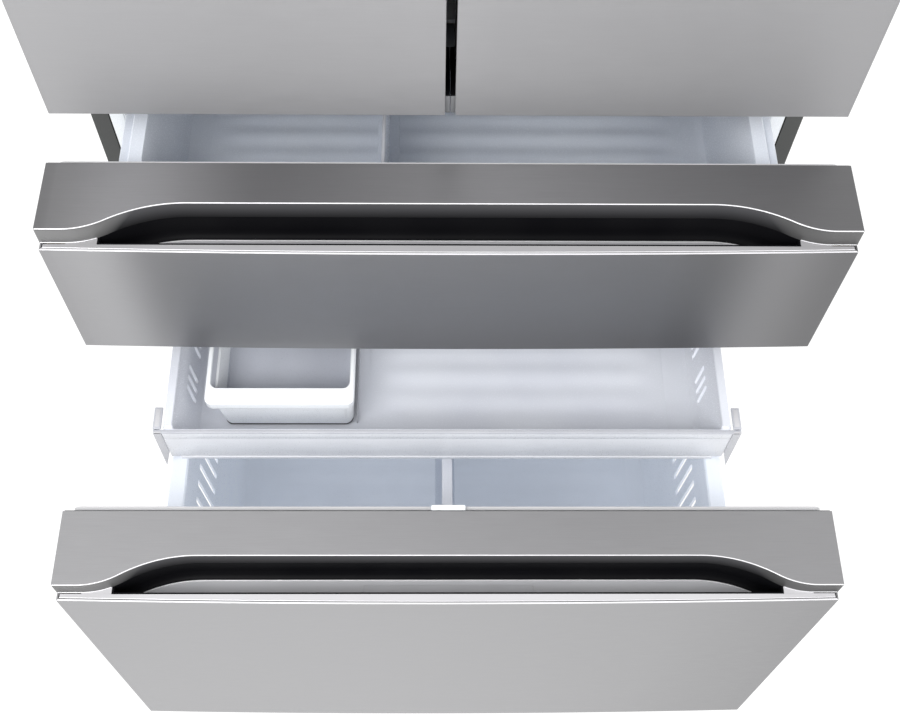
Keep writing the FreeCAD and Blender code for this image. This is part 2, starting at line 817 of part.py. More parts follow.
def rimmed_bin(half, rim_half, low, high, back):
    """A tub with a rim that stands out at both sides."""
    body = box(("-" + half, half), ("bin_front", back), (low, high))
    rim = box(("-" + rim_half, rim_half), ("bin_front", back), (high + " - 4", high))
    inside = box(
        ("bin_wall - " + half, half + " - bin_wall"),
        ("bin_front + bin_wall", back + " - bin_wall"),
        (low + " + bin_wall", high + " + 1"),
    )
    return cut(fuse([body, rim]), inside)


def drawer_slides(far, reach, z):
    """The pair of members fixed to a drawer, with the brackets that join them to its front."""
    members = []
    for side in (-1, 1):
        near = "cavity_half - 36"
        members.append(fuse([
            rail(side, near, "cavity_half - 25.5", ("front_depth", reach), z, "3"),
            box(across(side, far, "cavity_half - 30"), ("front_depth", "front_depth + 30"), z),
        ]))
    return fuse(members)


def slide_intermediates(reach, z):
    low = "%s + 4" % z[0]
    high = "%s - 4" % z[1]
    return fuse([
        rail(side, "cavity_half - 24.5", "cavity_half - 14", ("122", reach), (low, high), "3")
        for side in (-1, 1)
    ])


def divider(x, low, high, back, foot):
    """A thin wall that stands across a bin, with a foot along the floor."""
    blade = box((x - 1.5, x + 1.5), ("bin_front + bin_wall + 1", back), (low, high))
    shoe = box((x - foot, x + foot), ("bin_front + bin_wall + 1", back), (low, low + " + 4"))
    return fuse([blade, shoe])


def basket():
    """The freezer's upper basket: a shallow tub with a wing at each front corner."""
    shell = tub(("-basket_half", "basket_half"), ("basket_front", "basket_back"),
                ("basket_low", "basket_high"), "bin_wall")
    rims = [
        box(across(side, "basket_half - 1", "basket_wing"), ("basket_front", "basket_front + basket_wing_back"),
            ("basket_low + 4", "basket_high"))
        for side in (-1, 1)
    ]
    runners = [
        box(across(side, "basket_half - 1", "basket_half + 11"), ("basket_front + 60", "basket_back"),
            ("524", "530"))
        for side in (-1, 1)
    ]
    return fuse([shell] + rims + runners)


def ice_bin():
    """A tub whose front wall is as thick as the ledge that it is lifted by."""
    outer = box(("-ice_far", "-ice_near"), ("ice_front", "ice_back"), ("ice_low", "ice_high"))
    inside = box(
        ("ice_wall - ice_far", "-ice_near - ice_wall"),
        ("ice_front + ice_ledge", "ice_back - ice_wall"),
        ("ice_low + ice_wall", "ice_high + 1"),
    )
    return cut(outer, inside)


def crisper(side):
    x = across(side, "4", "crisper_half")
    return tub(x, ("crisper_front", "crisper_back"), ("crisper_low", "crisper_high"), "bin_wall")


# ---------------------------------------------------------------- assembly

node("cabinet_wrapper", wrapper())
node("cabinet_foam", foam())
node("cabinet_liners", liners())
node("mullion_rails", rails_between())
node("rear_panel", box(("sheet - " + HALF, HALF + " - sheet"), (BACK + " - 2", BACK), ("machine_top", "case_top")))
node("base_pan", base_pan())
node("toe_grille", toe_grille())
node("machine_cover", machine_cover())
node("compressor", compressor())
condenser = coil(800, -405, -215, 70, 235, 3.5, 14)
evaporator = coil(622, -290, 290, 150, 420, 4, 18)
node("refrigerant_coils", fuse([condenser, evaporator]))
node("evaporator_cover", evaporator_cover())
node("water_valve", water_valve())
node("condenser_fan", fan(-110, "822", 150, 58, 5))
node("evaporator_fan", fan(0, "case_front + 484", 505, 54, 5))
node("levelling_leg_left", levelling_leg(-1))
node("levelling_leg_right", levelling_leg(1))
node("rear_roller_left", roller(-1))
node("rear_roller_right", roller(1))
node("door_hinges", hinges())
node("hinge_covers", hinge_covers())
node("glass_shelves", shelf_panes())
node("shelf_frames", shelf_frames())
node("cabinet_rails", cabinet_rails())
node("crisper_left", crisper(-1))
node("crisper_right", crisper(1))

french_door(-1, "left")
french_door(1, "right")
node("mullion_flap", mullion_flap())

drawer_front("middle_drawer", "middle_low", "middle_high", "middle_open")
node("middle_drawer_bin", rimmed_bin("middle_bin_half", "middle_rim_half", "middle_bin_low",
                                     "middle_bin_high", "middle_bin_back"), "middle_open")
node("middle_drawer_divider", divider(-78, "middle_bin_low + bin_wall + 0.5", "middle_bin_high - 3",
                                      "middle_bin_back - bin_wall - 1", 14), "middle_open")
node("middle_drawer_slides", drawer_slides("middle_bin_half + 1", "600", MIDDLE_SLIDE), "middle_open")
node("middle_slide_intermediates", slide_intermediates("600", MIDDLE_SLIDE), "middle_open / 2")

drawer_front("freezer_drawer", "freezer_low", "freezer_high", "freezer_open")
node("freezer_drawer_bin", rimmed_bin("freezer_bin_half", "freezer_rim_half", "freezer_bin_low",
                                      "freezer_bin_high", "freezer_bin_back"), "freezer_open")
node("freezer_drawer_divider", divider(0, "freezer_bin_low + bin_wall + 0.5", "freezer_bin_high - 6",
                                       "freezer_bin_back - bin_wall - 1", 16), "freezer_open")
node("freezer_drawer_slides", drawer_slides("freezer_bin_half + 1", "585", FREEZER_SLIDE), "freezer_open")
node("freezer_slide_intermediates", slide_intermediates("585", FREEZER_SLIDE), "freezer_open / 2")
node("freezer_basket", basket(), "basket_open")
node("ice_bin", ice_bin(), "basket_open")

# ---------------------------------------------------------------- checks and files

doc.recompute()
for item in doc.Objects:
    if "Invalid" in item.State or "Error" in item.State:
        raise RuntimeError("%s (%s) failed" % (item.Name, item.Label))
os.makedirs("parts", exist_ok=True)
for item in nodes:
    shape = item.Shape
    if shape.isNull() or not shape.isValid():
        raise RuntimeError(item.Label + " has no valid shape")
    shape.exportStep("parts/%s.step" % item.Label)
    bounds = shape.BoundBox
    size = "%.0f x %.0f x %.0f" % (bounds.XLength, bounds.YLength, bounds.ZLength)
    print("%-30s %2d solids %12.0f mm3  %s" % (item.Label, len(shape.Solids), shape.Volume, size))
print(len(nodes), "nodes")
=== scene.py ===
"""The looks of a french door refrigerator, built round its CAD frame. Metres, +Z up, front at -Y."""
import math

import bmesh
import bpy
from mathutils import Matrix, Vector


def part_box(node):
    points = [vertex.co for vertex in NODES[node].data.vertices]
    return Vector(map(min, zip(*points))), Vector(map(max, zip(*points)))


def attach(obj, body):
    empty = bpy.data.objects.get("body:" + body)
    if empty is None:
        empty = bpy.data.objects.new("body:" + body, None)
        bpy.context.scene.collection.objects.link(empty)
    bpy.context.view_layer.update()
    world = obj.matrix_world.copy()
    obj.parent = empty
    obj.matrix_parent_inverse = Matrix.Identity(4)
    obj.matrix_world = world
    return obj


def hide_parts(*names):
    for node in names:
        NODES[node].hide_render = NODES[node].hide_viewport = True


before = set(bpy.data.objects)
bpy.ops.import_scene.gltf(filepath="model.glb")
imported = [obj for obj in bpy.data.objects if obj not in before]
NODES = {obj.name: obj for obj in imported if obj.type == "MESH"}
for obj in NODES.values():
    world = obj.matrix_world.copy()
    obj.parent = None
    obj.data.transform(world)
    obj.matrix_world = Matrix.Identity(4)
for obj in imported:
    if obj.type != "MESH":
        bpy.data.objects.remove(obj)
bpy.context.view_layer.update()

# ------------------------------------------------------------------ driving sizes

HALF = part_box("cabinet_wrapper")[1].x
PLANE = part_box("left_door_skin")[0].y            # flat front of the closed doors
DOOR_LOW, DOOR_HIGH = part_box("left_door_skin")[0].z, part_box("left_door_skin")[1].z
DOOR_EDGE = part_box("right_door_skin")[0].x       # inner edge of a door, from the middle
CASE_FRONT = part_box("cabinet_wrapper")[0].y
CASE_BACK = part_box("rear_panel")[1].y
CASE_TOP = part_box("cabinet_wrapper")[1].z
CASE_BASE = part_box("cabinet_wrapper")[0].z
FRONT_DEPTH = 0.1                                # a front, from its face to the back of its panel
BOW = 0.0048
LIP_BACK = 0.0095
LEDGE_DROP = 0.027
PANEL_BACK = 0.098
WAVE_OUTER = 0.426
WAVE_INNER = 0.291
WAVE_DEPTH = 0.0356
WAVE_END_RADIUS = 0.095
POCKET_HALF = 0.389
POCKET_DROP = 0.060
POCKET_FILLET = 0.011
POCKET_WALL = 0.002
SHEET = 0.0022
CAVITY_HALF = 0.412
FLANGE = 0.022
SHELF_PITCH = 0.195
DOOR_BIN_PITCH = 0.19

# ------------------------------------------------------------------ mesh building


def from_bmesh(name, bm, crease=32):
    """A new object from a bmesh, smooth except across edges sharper than crease degrees."""
    bmesh.ops.recalc_face_normals(bm, faces=bm.faces)
    mesh = bpy.data.meshes.new(name)
    bm.to_mesh(mesh)
    bm.free()
    mesh.polygons.foreach_set("use_smooth", [True] * len(mesh.polygons))
    mesh.set_sharp_from_angle(angle=math.radians(crease))
    item = bpy.data.objects.new(name, mesh)
    bpy.context.scene.collection.objects.link(item)
    return item


def soften(item, width, segments=3, angle=32):
    """Rounds every edge sharper than angle."""
    bevel = item.modifiers.new("round", "BEVEL")
    bevel.width = width
    bevel.segments = segments
    bevel.limit_method = "ANGLE"
    bevel.angle_limit = math.radians(angle)
    bevel.harden_normals = True
    return item


def settle(item):
    """Turns an object's modifiers into its mesh."""
    depsgraph = bpy.context.evaluated_depsgraph_get()
    mesh = bpy.data.meshes.new_from_object(item.evaluated_get(depsgraph), depsgraph=depsgraph)
    item.modifiers.clear()
    item.data = mesh
    return item


def block(name, corner, opposite, round_by=0.0015, segments=3):
    """A block with rounded edges between two opposite corners."""
    spans = [sorted(pair) for pair in zip(corner, opposite)]
    bm = bmesh.new()
    bmesh.ops.create_cube(bm, size=1)
    for vertex in bm.verts:
        for axis in range(3):
            vertex.co[axis] = spans[axis][1] if vertex.co[axis] > 0 else spans[axis][0]
    if round_by:
        bmesh.ops.bevel(bm, geom=list(bm.edges), offset=round_by, segments=segments, affect="EDGES",
                profile=0.5)
    return from_bmesh(name, bm)


def flat(points, z):
    """(x, y) points laid at one height."""
    return [(x, y, z) for x, y in points]


def upright(points, y):
    """(x, z) points stood up at one depth."""
    return [(x, y, z) for x, z in points]


def prism(name, outline, low, high, round_by=0.0, segments=3):
    """An outline of (x, y) points pulled up from z low to z high."""
    item = loft(name, [flat(outline, low), flat(outline, high)])
    if round_by:
        soften(item, round_by, segments)
    return item


def loft(name, rings, closed_loop=False, crease=32):
    """Skins a row of rings with equal numbers of points. The ends are filled unless the row is a loop."""
    bm = bmesh.new()
    rows = [[bm.verts.new(point) for point in ring] for ring in rings]
    pairs = list(zip(rows, rows[1:]))
    if closed_loop:
        pairs.append((rows[-1], rows[0]))
    else:
        bm.faces.new(rows[0])
        bm.faces.new(rows[-1])
    count = len(rings[0])
    for lower, upper in pairs:
        for index in range(count):
            after = (index + 1) % count
            bm.faces.new((lower[index], lower[after], upper[after], upper[index]))
    return from_bmesh(name, bm, crease)


def rounded(x0, x1, y0, y1, radius, steps=6):
    """A rounded rectangle, anticlockwise, as (x, y) points."""
    radius = max(radius, 1e-5)
    corners = [(x1 - radius, y0 + radius, -90), (x1 - radius, y1 - radius, 0),
            (x0 + radius, y1 - radius, 90), (x0 + radius, y0 + radius, 180)]
    points = []
    for cx, cy, start in corners:
        for step in range(steps + 1):
            angle = math.radians(start + 90 * step / steps)
            points.append((cx + radius * math.cos(angle), cy + radius * math.sin(angle)))
    return points


def tub(name, sections, crease=40):
    """An open tub through sections (x0, x1, y0, y1, z, corner radius): up outside, down inside."""
    rings = [flat(rounded(x0, x1, y0, y1, radius), z) for x0, x1, y0, y1, z, radius in sections]
    return loft(name, rings, crease=crease)


def even_tub(name, front, back, rows):
    """A tub even about X = 0, from rows of (half width, inset at front and back, z, corner radius)."""
    return tub(name, [(-half, half, front + inset, back - inset, z, radius) for half, inset, z,
            radius in rows])


def simple_tub(name, x, y, z, wall=0.003, taper=0.01, radius=0.016, rim=0.0, rim_drop=0.008, foot=0.006):
    """A moulded tub: rounded foot, tapered walls, an optional rim that turns out and down."""
    (x0, x1), (y0, y1), (z0, z1) = x, y, z

    def section(inset, height, corner):
        """The tub's outline moved in by inset, at one height."""
        return (x0 + inset, x1 - inset, y0 + inset, y1 - inset, height, max(corner, 0.002))

    rings = [
        section(rim + taper + foot, z0, radius - foot),
        section(rim + taper + foot * 0.35, z0 + foot * 0.25, radius),
        section(rim + taper, z0 + foot, radius),
    ]
    if rim:
        rings += [
            section(rim, z1 - rim_drop, radius),
            section(0.0012, z1 - rim_drop, radius + rim),
            section(0, z1 - rim_drop + 0.001, radius + rim),
            section(0, z1 - 0.0015, radius + rim),
        ]
    else:
        rings += [section(rim, z1 - 0.001, radius)]
    rings += [
        section(0.0012, z1, radius + rim),
        section(rim + wall - 0.001, z1, radius),
        section(rim + wall, z1 - 0.0015, radius - wall),
        section(rim + taper + wall, z0 + foot + wall, radius - wall),
        section(rim + taper + wall + foot * 0.35, z0 + wall + foot * 0.25, radius - wall),
        section(rim + taper + wall + foot, z0 + wall, radius - wall),
    ]
    return tub(name, rings)


def rod(name, start, end, radius, sides=24, round_by=0.0006):
    """A round bar with softened ends."""
    start, end = Vector(start), Vector(end)
    bm = bmesh.new()
    bmesh.ops.create_cone(bm, cap_ends=True, segments=sides, radius1=radius, radius2=radius,
            depth=(end - start).length)
    turn = (end - start).to_track_quat("Z", "Y").to_matrix().to_4x4()
    bmesh.ops.transform(bm, matrix=Matrix.Translation((start + end) / 2) @ turn, verts=bm.verts)
    item = from_bmesh(name, bm)
    return soften(item, round_by, 2, 50)


def tube(name, path, radius, sides=10):
    """A round bead along a path of points that lies level."""
    points = [Vector(point) for point in path]
    rings = []
    for index, point in enumerate(points):
        before = points[max(index - 1, 0)]
        after = points[min(index + 1, len(points) - 1)]
        ahead = (after - before).normalized()
        out = Vector((ahead.y, -ahead.x, 0))
        ring = []
        for step in range(sides):
            angle = 2 * math.pi * step / sides
            ring.append(point + radius * (math.cos(angle) * out + math.sin(angle) * Vector((0, 0, 1))))
        rings.append(ring)
    return loft(name, rings, crease=60)


def ribbed_mat(name, x, y, z, ribs, height, fade=0.05, columns=60, rows_per_rib=10):
    """A floor moulded into soft ribs that run along X and die away at their ends."""
    bm = bmesh.new()
    rows = ribs * rows_per_rib
    grid = []
    for row in range(rows + 1):
        share = row / rows
        swell = 0.5 - 0.5 * math.cos(2 * math.pi * ribs * share)
        line = []
        for column in range(columns + 1):
            across = x[0] + (x[1] - x[0]) * column / columns
            edge = min(across - x[0], x[1] - across) / fade
            fall = min(1, max(0, edge))
            rise = height * swell * fall * fall * (3 - 2 * fall)
            line.append(bm.verts.new((across, y[0] + (y[1] - y[0]) * share, z + 0.0004 + rise)))
        grid.append(line)
    for near, far in zip(grid, grid[1:]):
        for column in range(columns):
            bm.faces.new((near[column], near[column + 1], far[column + 1], far[column]))
    rim = [edge for edge in bm.edges if edge.is_boundary]
    walls = bmesh.ops.extrude_edge_only(bm, edges=rim)["geom"]
    low = [item for item in walls if isinstance(item, bmesh.types.BMVert)]
    for vertex in low:
        vertex.co.z = z - 0.001
    bmesh.ops.contextual_create(bm, geom=[edge for edge in bm.edges if edge.is_boundary])
    return from_bmesh(name, bm, 50)


def joined(name, items):
    """One object from several, with their modifiers taken in."""
    bm = bmesh.new()
    for item in items:
        settle(item)
        bm.from_mesh(item.data)
        bpy.data.objects.remove(item)
    mesh = bpy.data.meshes.new(name)
    bm.to_mesh(mesh)
    bm.free()
    result = bpy.data.objects.new(name, mesh)
    bpy.context.scene.collection.objects.link(result)
    return result


def carved(item, cutters):
    """Cuts other objects out of one, and removes them."""
    tool = joined(item.name + "_tool", cutters)
    settle(item)
    cut = item.modifiers.new("cut", "BOOLEAN")
    cut.operation = "DIFFERENCE"
    cut.solver = "EXACT"
    cut.use_self = True
    cut.object = tool
    settle(item)
    bpy.data.objects.remove(tool)
    item.data.set_sharp_from_angle(angle=math.radians(32))
    return item


def picture_frame(name, x, z, profile, corner=0.0):
    """A frame across Y: profile is a closed row of (inset, y) points carried round the rectangle."""
    rings = []
    for inset, y in profile:
        outline = rounded(x[0] + inset, x[1] - inset, z[0] + inset, z[1] - inset,
                max(corner - inset, 0.0005), 4)
        rings.append(upright(outline, y))
    return loft(name, rings, closed_loop=True)


def place(item, body, material, replaces=(), more_materials=()):
    """Dresses a finished piece and makes it ride on its CAD body."""
    item.data.materials.clear()
    item.data.materials.append(material)
    for extra in more_materials:
        item.data.materials.append(extra)
    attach(item, body)
    if replaces:
        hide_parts(*replaces)
    return item


# ------------------------------------------------------------------ materials


def shader(name, color, roughness, metallic=0.0, **constants):
    """A principled material, and its node tree and shader node."""
    material = bpy.data.materials.new(name)
    material.use_nodes = True
    node = material.node_tree.nodes["Principled BSDF"]
    node.inputs["Base Color"].default_value = (*color, 1)
    node.inputs["Roughness"].default_value = roughness
    node.inputs["Metallic"].default_value = metallic
    for socket, value in constants.items():
        node.inputs[socket.replace("_", " ")].default_value = value
    return material, material.node_tree, node


def noise(tree, scale, detail=3.0, roughness=0.55):
    """Noise in the object's own metres, stretched by scale along X, Y and Z."""
    place_node = tree.nodes.new("ShaderNodeTexCoord")
    stretch = tree.nodes.new("ShaderNodeMapping")
    stretch.inputs["Scale"].default_value = scale
    texture = tree.nodes.new("ShaderNodeTexNoise")
    texture.inputs["Scale"].default_value = 1.0
    texture.inputs["Detail"].default_value = detail
    texture.inputs["Roughness"].default_value = roughness
    tree.links.new(place_node.outputs["Object"], stretch.inputs["Vector"])
    tree.links.new(stretch.outputs["Vector"], texture.inputs["Vector"])
    return texture.outputs["Fac"]


def ramp(tree, factor, low, high, start=0.3, end=0.7):
    """A factor turned into a value between low and high."""
    span = tree.nodes.new("ShaderNodeMapRange")
    span.inputs["From Min"].default_value = start
    span.inputs["From Max"].default_value = end
    span.inputs["To Min"].default_value = low
    span.inputs["To Max"].default_value = high
    tree.links.new(factor, span.inputs["Value"])
    return span.outputs["Result"]


def color_mixer(tree):
    """A node that mixes colours A and B by a factor."""
    mixer = tree.nodes.new("ShaderNodeMix")
    mixer.data_type = "RGBA"
    return mixer


def blend_color(tree, factor, first, second, start=0.3, end=0.7):
    """A factor turned into a colour between first and second."""
    mixer = color_mixer(tree)
    mixer.inputs["A"].default_value = (*first, 1)
    mixer.inputs["B"].default_value = (*second, 1)
    tree.links.new(ramp(tree, factor, 0, 1, start, end), mixer.inputs["Factor"])
    return mixer.outputs["Result"]


def own_axes(tree):
    """The shaded point's X, Y and Z in the object's own metres."""
    place_node = tree.nodes.new("ShaderNodeTexCoord")
    split = tree.nodes.new("ShaderNodeSeparateXYZ")
    tree.links.new(place_node.outputs["Object"], split.inputs["Vector"])
    return split.outputs


def bump(tree, node, factor, strength, distance):
    """Relief from a factor, distance deep in metres."""
    relief = tree.nodes.new("ShaderNodeBump")
    relief.inputs["Strength"].default_value = strength
    relief.inputs["Distance"].default_value = distance
    tree.links.new(factor, relief.inputs["Height"])
    tree.links.new(relief.outputs["Normal"], node.inputs["Normal"])


def across_ramp(tree, painted_reflection_stops):
    """A grey that changes along X for painted reflection bands and painted shade: stops are (x in metres,
    value), from left to right.
    """
    colors = tree.nodes.new("ShaderNodeValToRGB")
    colors.color_ramp.interpolation = "B_SPLINE"
    points = colors.color_ramp.elements
    spots = [(stop[0] + HALF) / (2 * HALF) for stop in painted_reflection_stops]
    points[1].position = spots[-1]
    points[0].position = spots[0]
    for spot in spots[1:-1]:
        points.new(spot)
    for point, stop in zip(points, painted_reflection_stops):
        value = stop[1]
        point.color = (value, value * 0.995, value * 1.02, 1)
    tree.links.new(ramp(tree, own_axes(tree)["X"], 0, 1, -HALF, HALF), colors.inputs["Fac"])
    return colors.outputs["Color"]


def brushed_steel(name, painted_reflection_stops, roughness=0.42, metallic=0.85):
    """Stainless sheet with its grain from side to side, and broad soft bands across its width that are
    painted reflections and painted shade.
    """
    material, tree, node = shader(name, (painted_reflection_stops[0][1],) * 3, roughness, metallic)
    grain = noise(tree, (25, 2400, 2400), 3)
    # the painted reflection bands along X, multiplied by the steel's real grain
    grain_and_painted_bands = color_mixer(tree)
    grain_and_painted_bands.blend_type = "MULTIPLY"
    grain_and_painted_bands.inputs["Factor"].default_value = 0.5
    tree.links.new(across_ramp(tree, painted_reflection_stops), grain_and_painted_bands.inputs["A"])
    tree.links.new(blend_color(tree, grain, (0.8, 0.8, 0.8), (1, 1, 1)), grain_and_painted_bands.inputs["B"])
    tree.links.new(grain_and_painted_bands.outputs["Result"], node.inputs["Base Color"])
    tree.links.new(ramp(tree, grain, roughness - 0.08, roughness + 0.08), node.inputs["Roughness"])
    bump(tree, node, grain, 0.05, 0.0002)
    return material


def grip_wall(name, high, steel):
    """The grip's rear wall: steel ends that fade into black plastic along a soft slanted line, partly the
    real join and partly a painted reflection; painted light along its top and painted shade on the steel
    towards the right.
    """
    material, tree, node = shader(name, (0.01, 0.01, 0.01), 0.5, Specular_IOR_Level=0.12)
    axes = own_axes(tree)
    side = tree.nodes.new("ShaderNodeMath")
    side.operation = "ABSOLUTE"
    tree.links.new(axes["X"], side.inputs[0])
    slope = tree.nodes.new("ShaderNodeMath")
    slope.operation = "MULTIPLY_ADD"
    lean = 0.95
    slope.inputs[1].default_value = lean
    tree.links.new(axes["Z"], slope.inputs[0])
    tree.links.new(side.outputs[0], slope.inputs[2])
    # the soft slanted line from black to steel: partly the real join, partly a painted reflection
    start = 0.345 + lean * high
    steel_and_painted_reflection_mask = ramp(tree, slope.outputs[0], 0, 1, start, start + 0.03)
    # black that is lighter along the top is painted light; steel that is darker towards +X is painted shade
    black_with_painted_top_light = blend_color(tree, axes["Z"], (0.004, 0.004, 0.0045), (0.075, 0.075, 0.08), high - 0.03, high)
    mixer = color_mixer(tree)
    steel_with_painted_shade = blend_color(tree, axes["X"], (steel,) * 3, (steel * 0.62,) * 3, -0.4, 0.4)
    tree.links.new(steel_with_painted_shade, mixer.inputs["B"])
    tree.links.new(steel_and_painted_reflection_mask, mixer.inputs["Factor"])
    tree.links.new(black_with_painted_top_light, mixer.inputs["A"])
    tree.links.new(mixer.outputs["Result"], node.inputs["Base Color"])
    tree.links.new(ramp(tree, steel_and_painted_reflection_mask, 0, 0.8, 0, 1), node.inputs["Metallic"])
    bump(tree, node, noise(tree, (25, 2400, 2400), 3), 0.05, 0.0002)
    return material


def clouded(tree, node, cloud, fine, colors, roughness, spread):
    """Colour that follows one noise and roughness that follows another."""
    tree.links.new(blend_color(tree, cloud, *colors), node.inputs["Base Color"])
    tree.links.new(ramp(tree, fine, roughness - spread, roughness + spread), node.inputs["Roughness"])


def plastic(name, dark, light, roughness, grain=900, relief=0.05, **constants):
    """Moulded plastic with a fine grain and a little variation in colour."""
    material, tree, node = shader(name, light, roughness, 0.0, **constants)
    fine = noise(tree, (grain,) * 3, 2)
    clouded(tree, node, noise(tree, (9, 9, 9), 2), fine, (dark, light), roughness, 0.04)
    bump(tree, node, fine, relief, 0.0003)
    return material


def paint(name, dark, light, roughness, orange_peel=700):
    """Sprayed paint with a fine texture."""
    material, tree, node = shader(name, light, roughness, 0.0)
    peel = noise(tree, (orange_peel,) * 3, 2)
    clouded(tree, node, noise(tree, (5, 5, 5), 3), peel, (dark, light), roughness, 0.05)
    bump(tree, node, peel, 0.15, 0.0004)
    return material


def sheet_metal(name, dark, light, roughness, scale=60):
    """Zinc-coated or bare metal with a mottled surface."""
    material, tree, node = shader(name, light, roughness, 1.0)
    mottle = noise(tree, (scale,) * 3, 4)
    clouded(tree, node, mottle, mottle, (dark, light), roughness, 0.1)
    bump(tree, node, mottle, 0.04, 0.0004)
    return material


# The greys along X in these steels are painted reflection bands and painted shade, mostly darker towards the
# right.
STEEL_CAP = brushed_steel("steel_light_cap", [(-0.43, 0.385), (-0.17, 0.394), (0.0, 0.369), (0.18, 0.346),
        (0.41, 0.324)])
STEEL_FACE = brushed_steel("steel_light_face", [(-0.42, 0.35), (-0.2, 0.36), (0.0, 0.35), (0.27, 0.315),
        (0.42, 0.25)])
STEEL_DOOR = brushed_steel("steel_door", [(-0.45, 0.35), (-0.05, 0.425), (0.05, 0.395), (0.45, 0.29)], 0.55,
        0.5)
STEEL_DARK_CAP = brushed_steel("steel_dark_cap", [(-0.44, 0.19), (-0.37, 0.36), (-0.3, 0.28), (-0.2, 0.1),
        (0.0, 0.33), (0.17, 0.26), (0.33, 0.18), (0.42, 0.17)], 0.38)
STEEL_DARK_FACE = brushed_steel("steel_dark_face", [(-0.44, 0.33), (-0.385, 0.43), (-0.33, 0.2),
        (-0.22, 0.3), (0.0, 0.3), (0.15, 0.27), (0.25, 0.23), (0.3, 0.15), (0.35, 0.25), (0.39, 0.22),
        (0.43, 0.15)], 0.38)
# Near-white steel for the beads along rounded edges: painted highlights.
PAINTED_HIGHLIGHT_STEEL = brushed_steel("steel_painted_highlight", [(-0.45, 0.85), (0.45, 0.8)], 0.3, 0.3)
CASE_PAINT = paint("case_paint", (0.035, 0.0365, 0.035), (0.046, 0.048, 0.046), 0.45)
ZINC = sheet_metal("zinc_sheet", (0.45, 0.46, 0.47), (0.62, 0.63, 0.64), 0.42)
SLIDE_STEEL = sheet_metal("rail_steel", (0.5, 0.51, 0.52), (0.64, 0.65, 0.66), 0.3, 90)
LEG_STEEL = sheet_metal("leg_steel", (0.36, 0.36, 0.37), (0.5, 0.5, 0.51), 0.36, 120)
COIL_METAL = sheet_metal("coil_metal", (0.6, 0.6, 0.61), (0.75, 0.75, 0.76), 0.35, 150)
ENAMEL = paint("black_enamel", (0.012, 0.012, 0.013), (0.02, 0.02, 0.021), 0.25, 300)
LINER_WHITE = plastic("white_liner", (0.80, 0.83, 0.86), (0.86, 0.885, 0.91), 0.28)
WHITE = plastic("white_plastic", (0.84, 0.87, 0.9), (0.9, 0.92, 0.94), 0.3)
FROSTED = plastic("bin_plastic", (0.72, 0.76, 0.84), (0.80, 0.84, 0.91), 0.26, 700, 0.04)
# A darker copy of the ice bin's white for its inner walls and floor: painted shade.
ICE_BIN_PAINTED_SHADE = plastic("ice_bin_painted_shade", (0.50, 0.52, 0.58), (0.56, 0.58, 0.64), 0.3, 700, 0.04)
# A faint glow in the freezer tub's plastic: painted light, as if light came through it.
FROSTED_LIT = plastic("bin_plastic_painted_glow", (0.70, 0.74, 0.82), (0.76, 0.80, 0.88), 0.3, 700, 0.04,
        Emission_Color=(0.95, 0.99, 1.0, 1), Emission_Strength=0.125)
# The basket's plastic glows faintly: painted light that brightens its shaded inner walls.
BASKET_WHITE = plastic("basket_plastic", (0.58, 0.60, 0.66), (0.64, 0.66, 0.71), 0.25, 700, 0.04,
        Emission_Color=(0.96, 0.97, 1.0, 1), Emission_Strength=0.06)
CLEAR = plastic("clear_plastic", (0.86, 0.88, 0.93), (0.92, 0.935, 0.97), 0.18, 300, 0.02,
        Transmission_Weight=0.35, IOR=1.45)
FROST_GREY = plastic("frosted_edge", (0.40, 0.41, 0.45), (0.46, 0.47, 0.5), 0.3, 500, 0.03)
FROST_WING = plastic("frosted_wing", (0.47, 0.47, 0.49), (0.52, 0.52, 0.54), 0.3, 500, 0.03)
FROST_PALE = plastic("frosted_face", (0.60, 0.61, 0.64), (0.66, 0.67, 0.7), 0.3, 500, 0.03)
GLASS = plastic("shelf_glass", (0.86, 0.95, 0.92), (0.92, 0.98, 0.96), 0.06, 200, 0.01,
        Transmission_Weight=0.95, IOR=1.5)
DARK_PLASTIC = plastic("dark_plastic", (0.03, 0.03, 0.032), (0.05, 0.05, 0.052), 0.5, 1200, 0.2)
GRIP_BLACK = plastic("grip_black", (0.003, 0.003, 0.004), (0.006, 0.006, 0.007), 0.45, 1500, 0.08,
        Specular_IOR_Level=0.06)
GRIP_FLOOR = plastic("grip_floor", (0.44, 0.44, 0.46), (0.5, 0.5, 0.52), 0.4, 1500, 0.08)
TRIM_LIGHT = plastic("ledge_trim_light", (0.47, 0.465, 0.48), (0.5, 0.495, 0.51), 0.4, 900, 0.04)
TRIM_DARK = plastic("ledge_trim_dark", (0.29, 0.287, 0.295), (0.32, 0.317, 0.325), 0.4, 900, 0.04)
NYLON = plastic("roller_plastic", (0.28, 0.28, 0.28), (0.35, 0.35, 0.35), 0.45)
GASKET = plastic("gasket_rubber", (0.55, 0.55, 0.56), (0.6, 0.6, 0.61), 0.55, 800, 0.1)
GAP_GREY = plastic("gap_grey", (0.14, 0.143, 0.15), (0.17, 0.173, 0.18), 0.4, 900, 0.04)
FOAM = plastic("insulation_foam", (0.62, 0.54, 0.33), (0.75, 0.68, 0.46), 0.8, 350, 0.5)

# ------------------------------------------------------------------ camera, light and floor

CAMERA_FROM_PLANE = Vector((-0.0177, -0.9145, 1.0723))   # from the middle of the doors' lower front edge
CAMERA_PITCH = math.radians(60.77)
CAMERA_YAW = math.radians(1.53)
CAMERA_ROLL = math.radians(-1.43)
LENS = 48.71


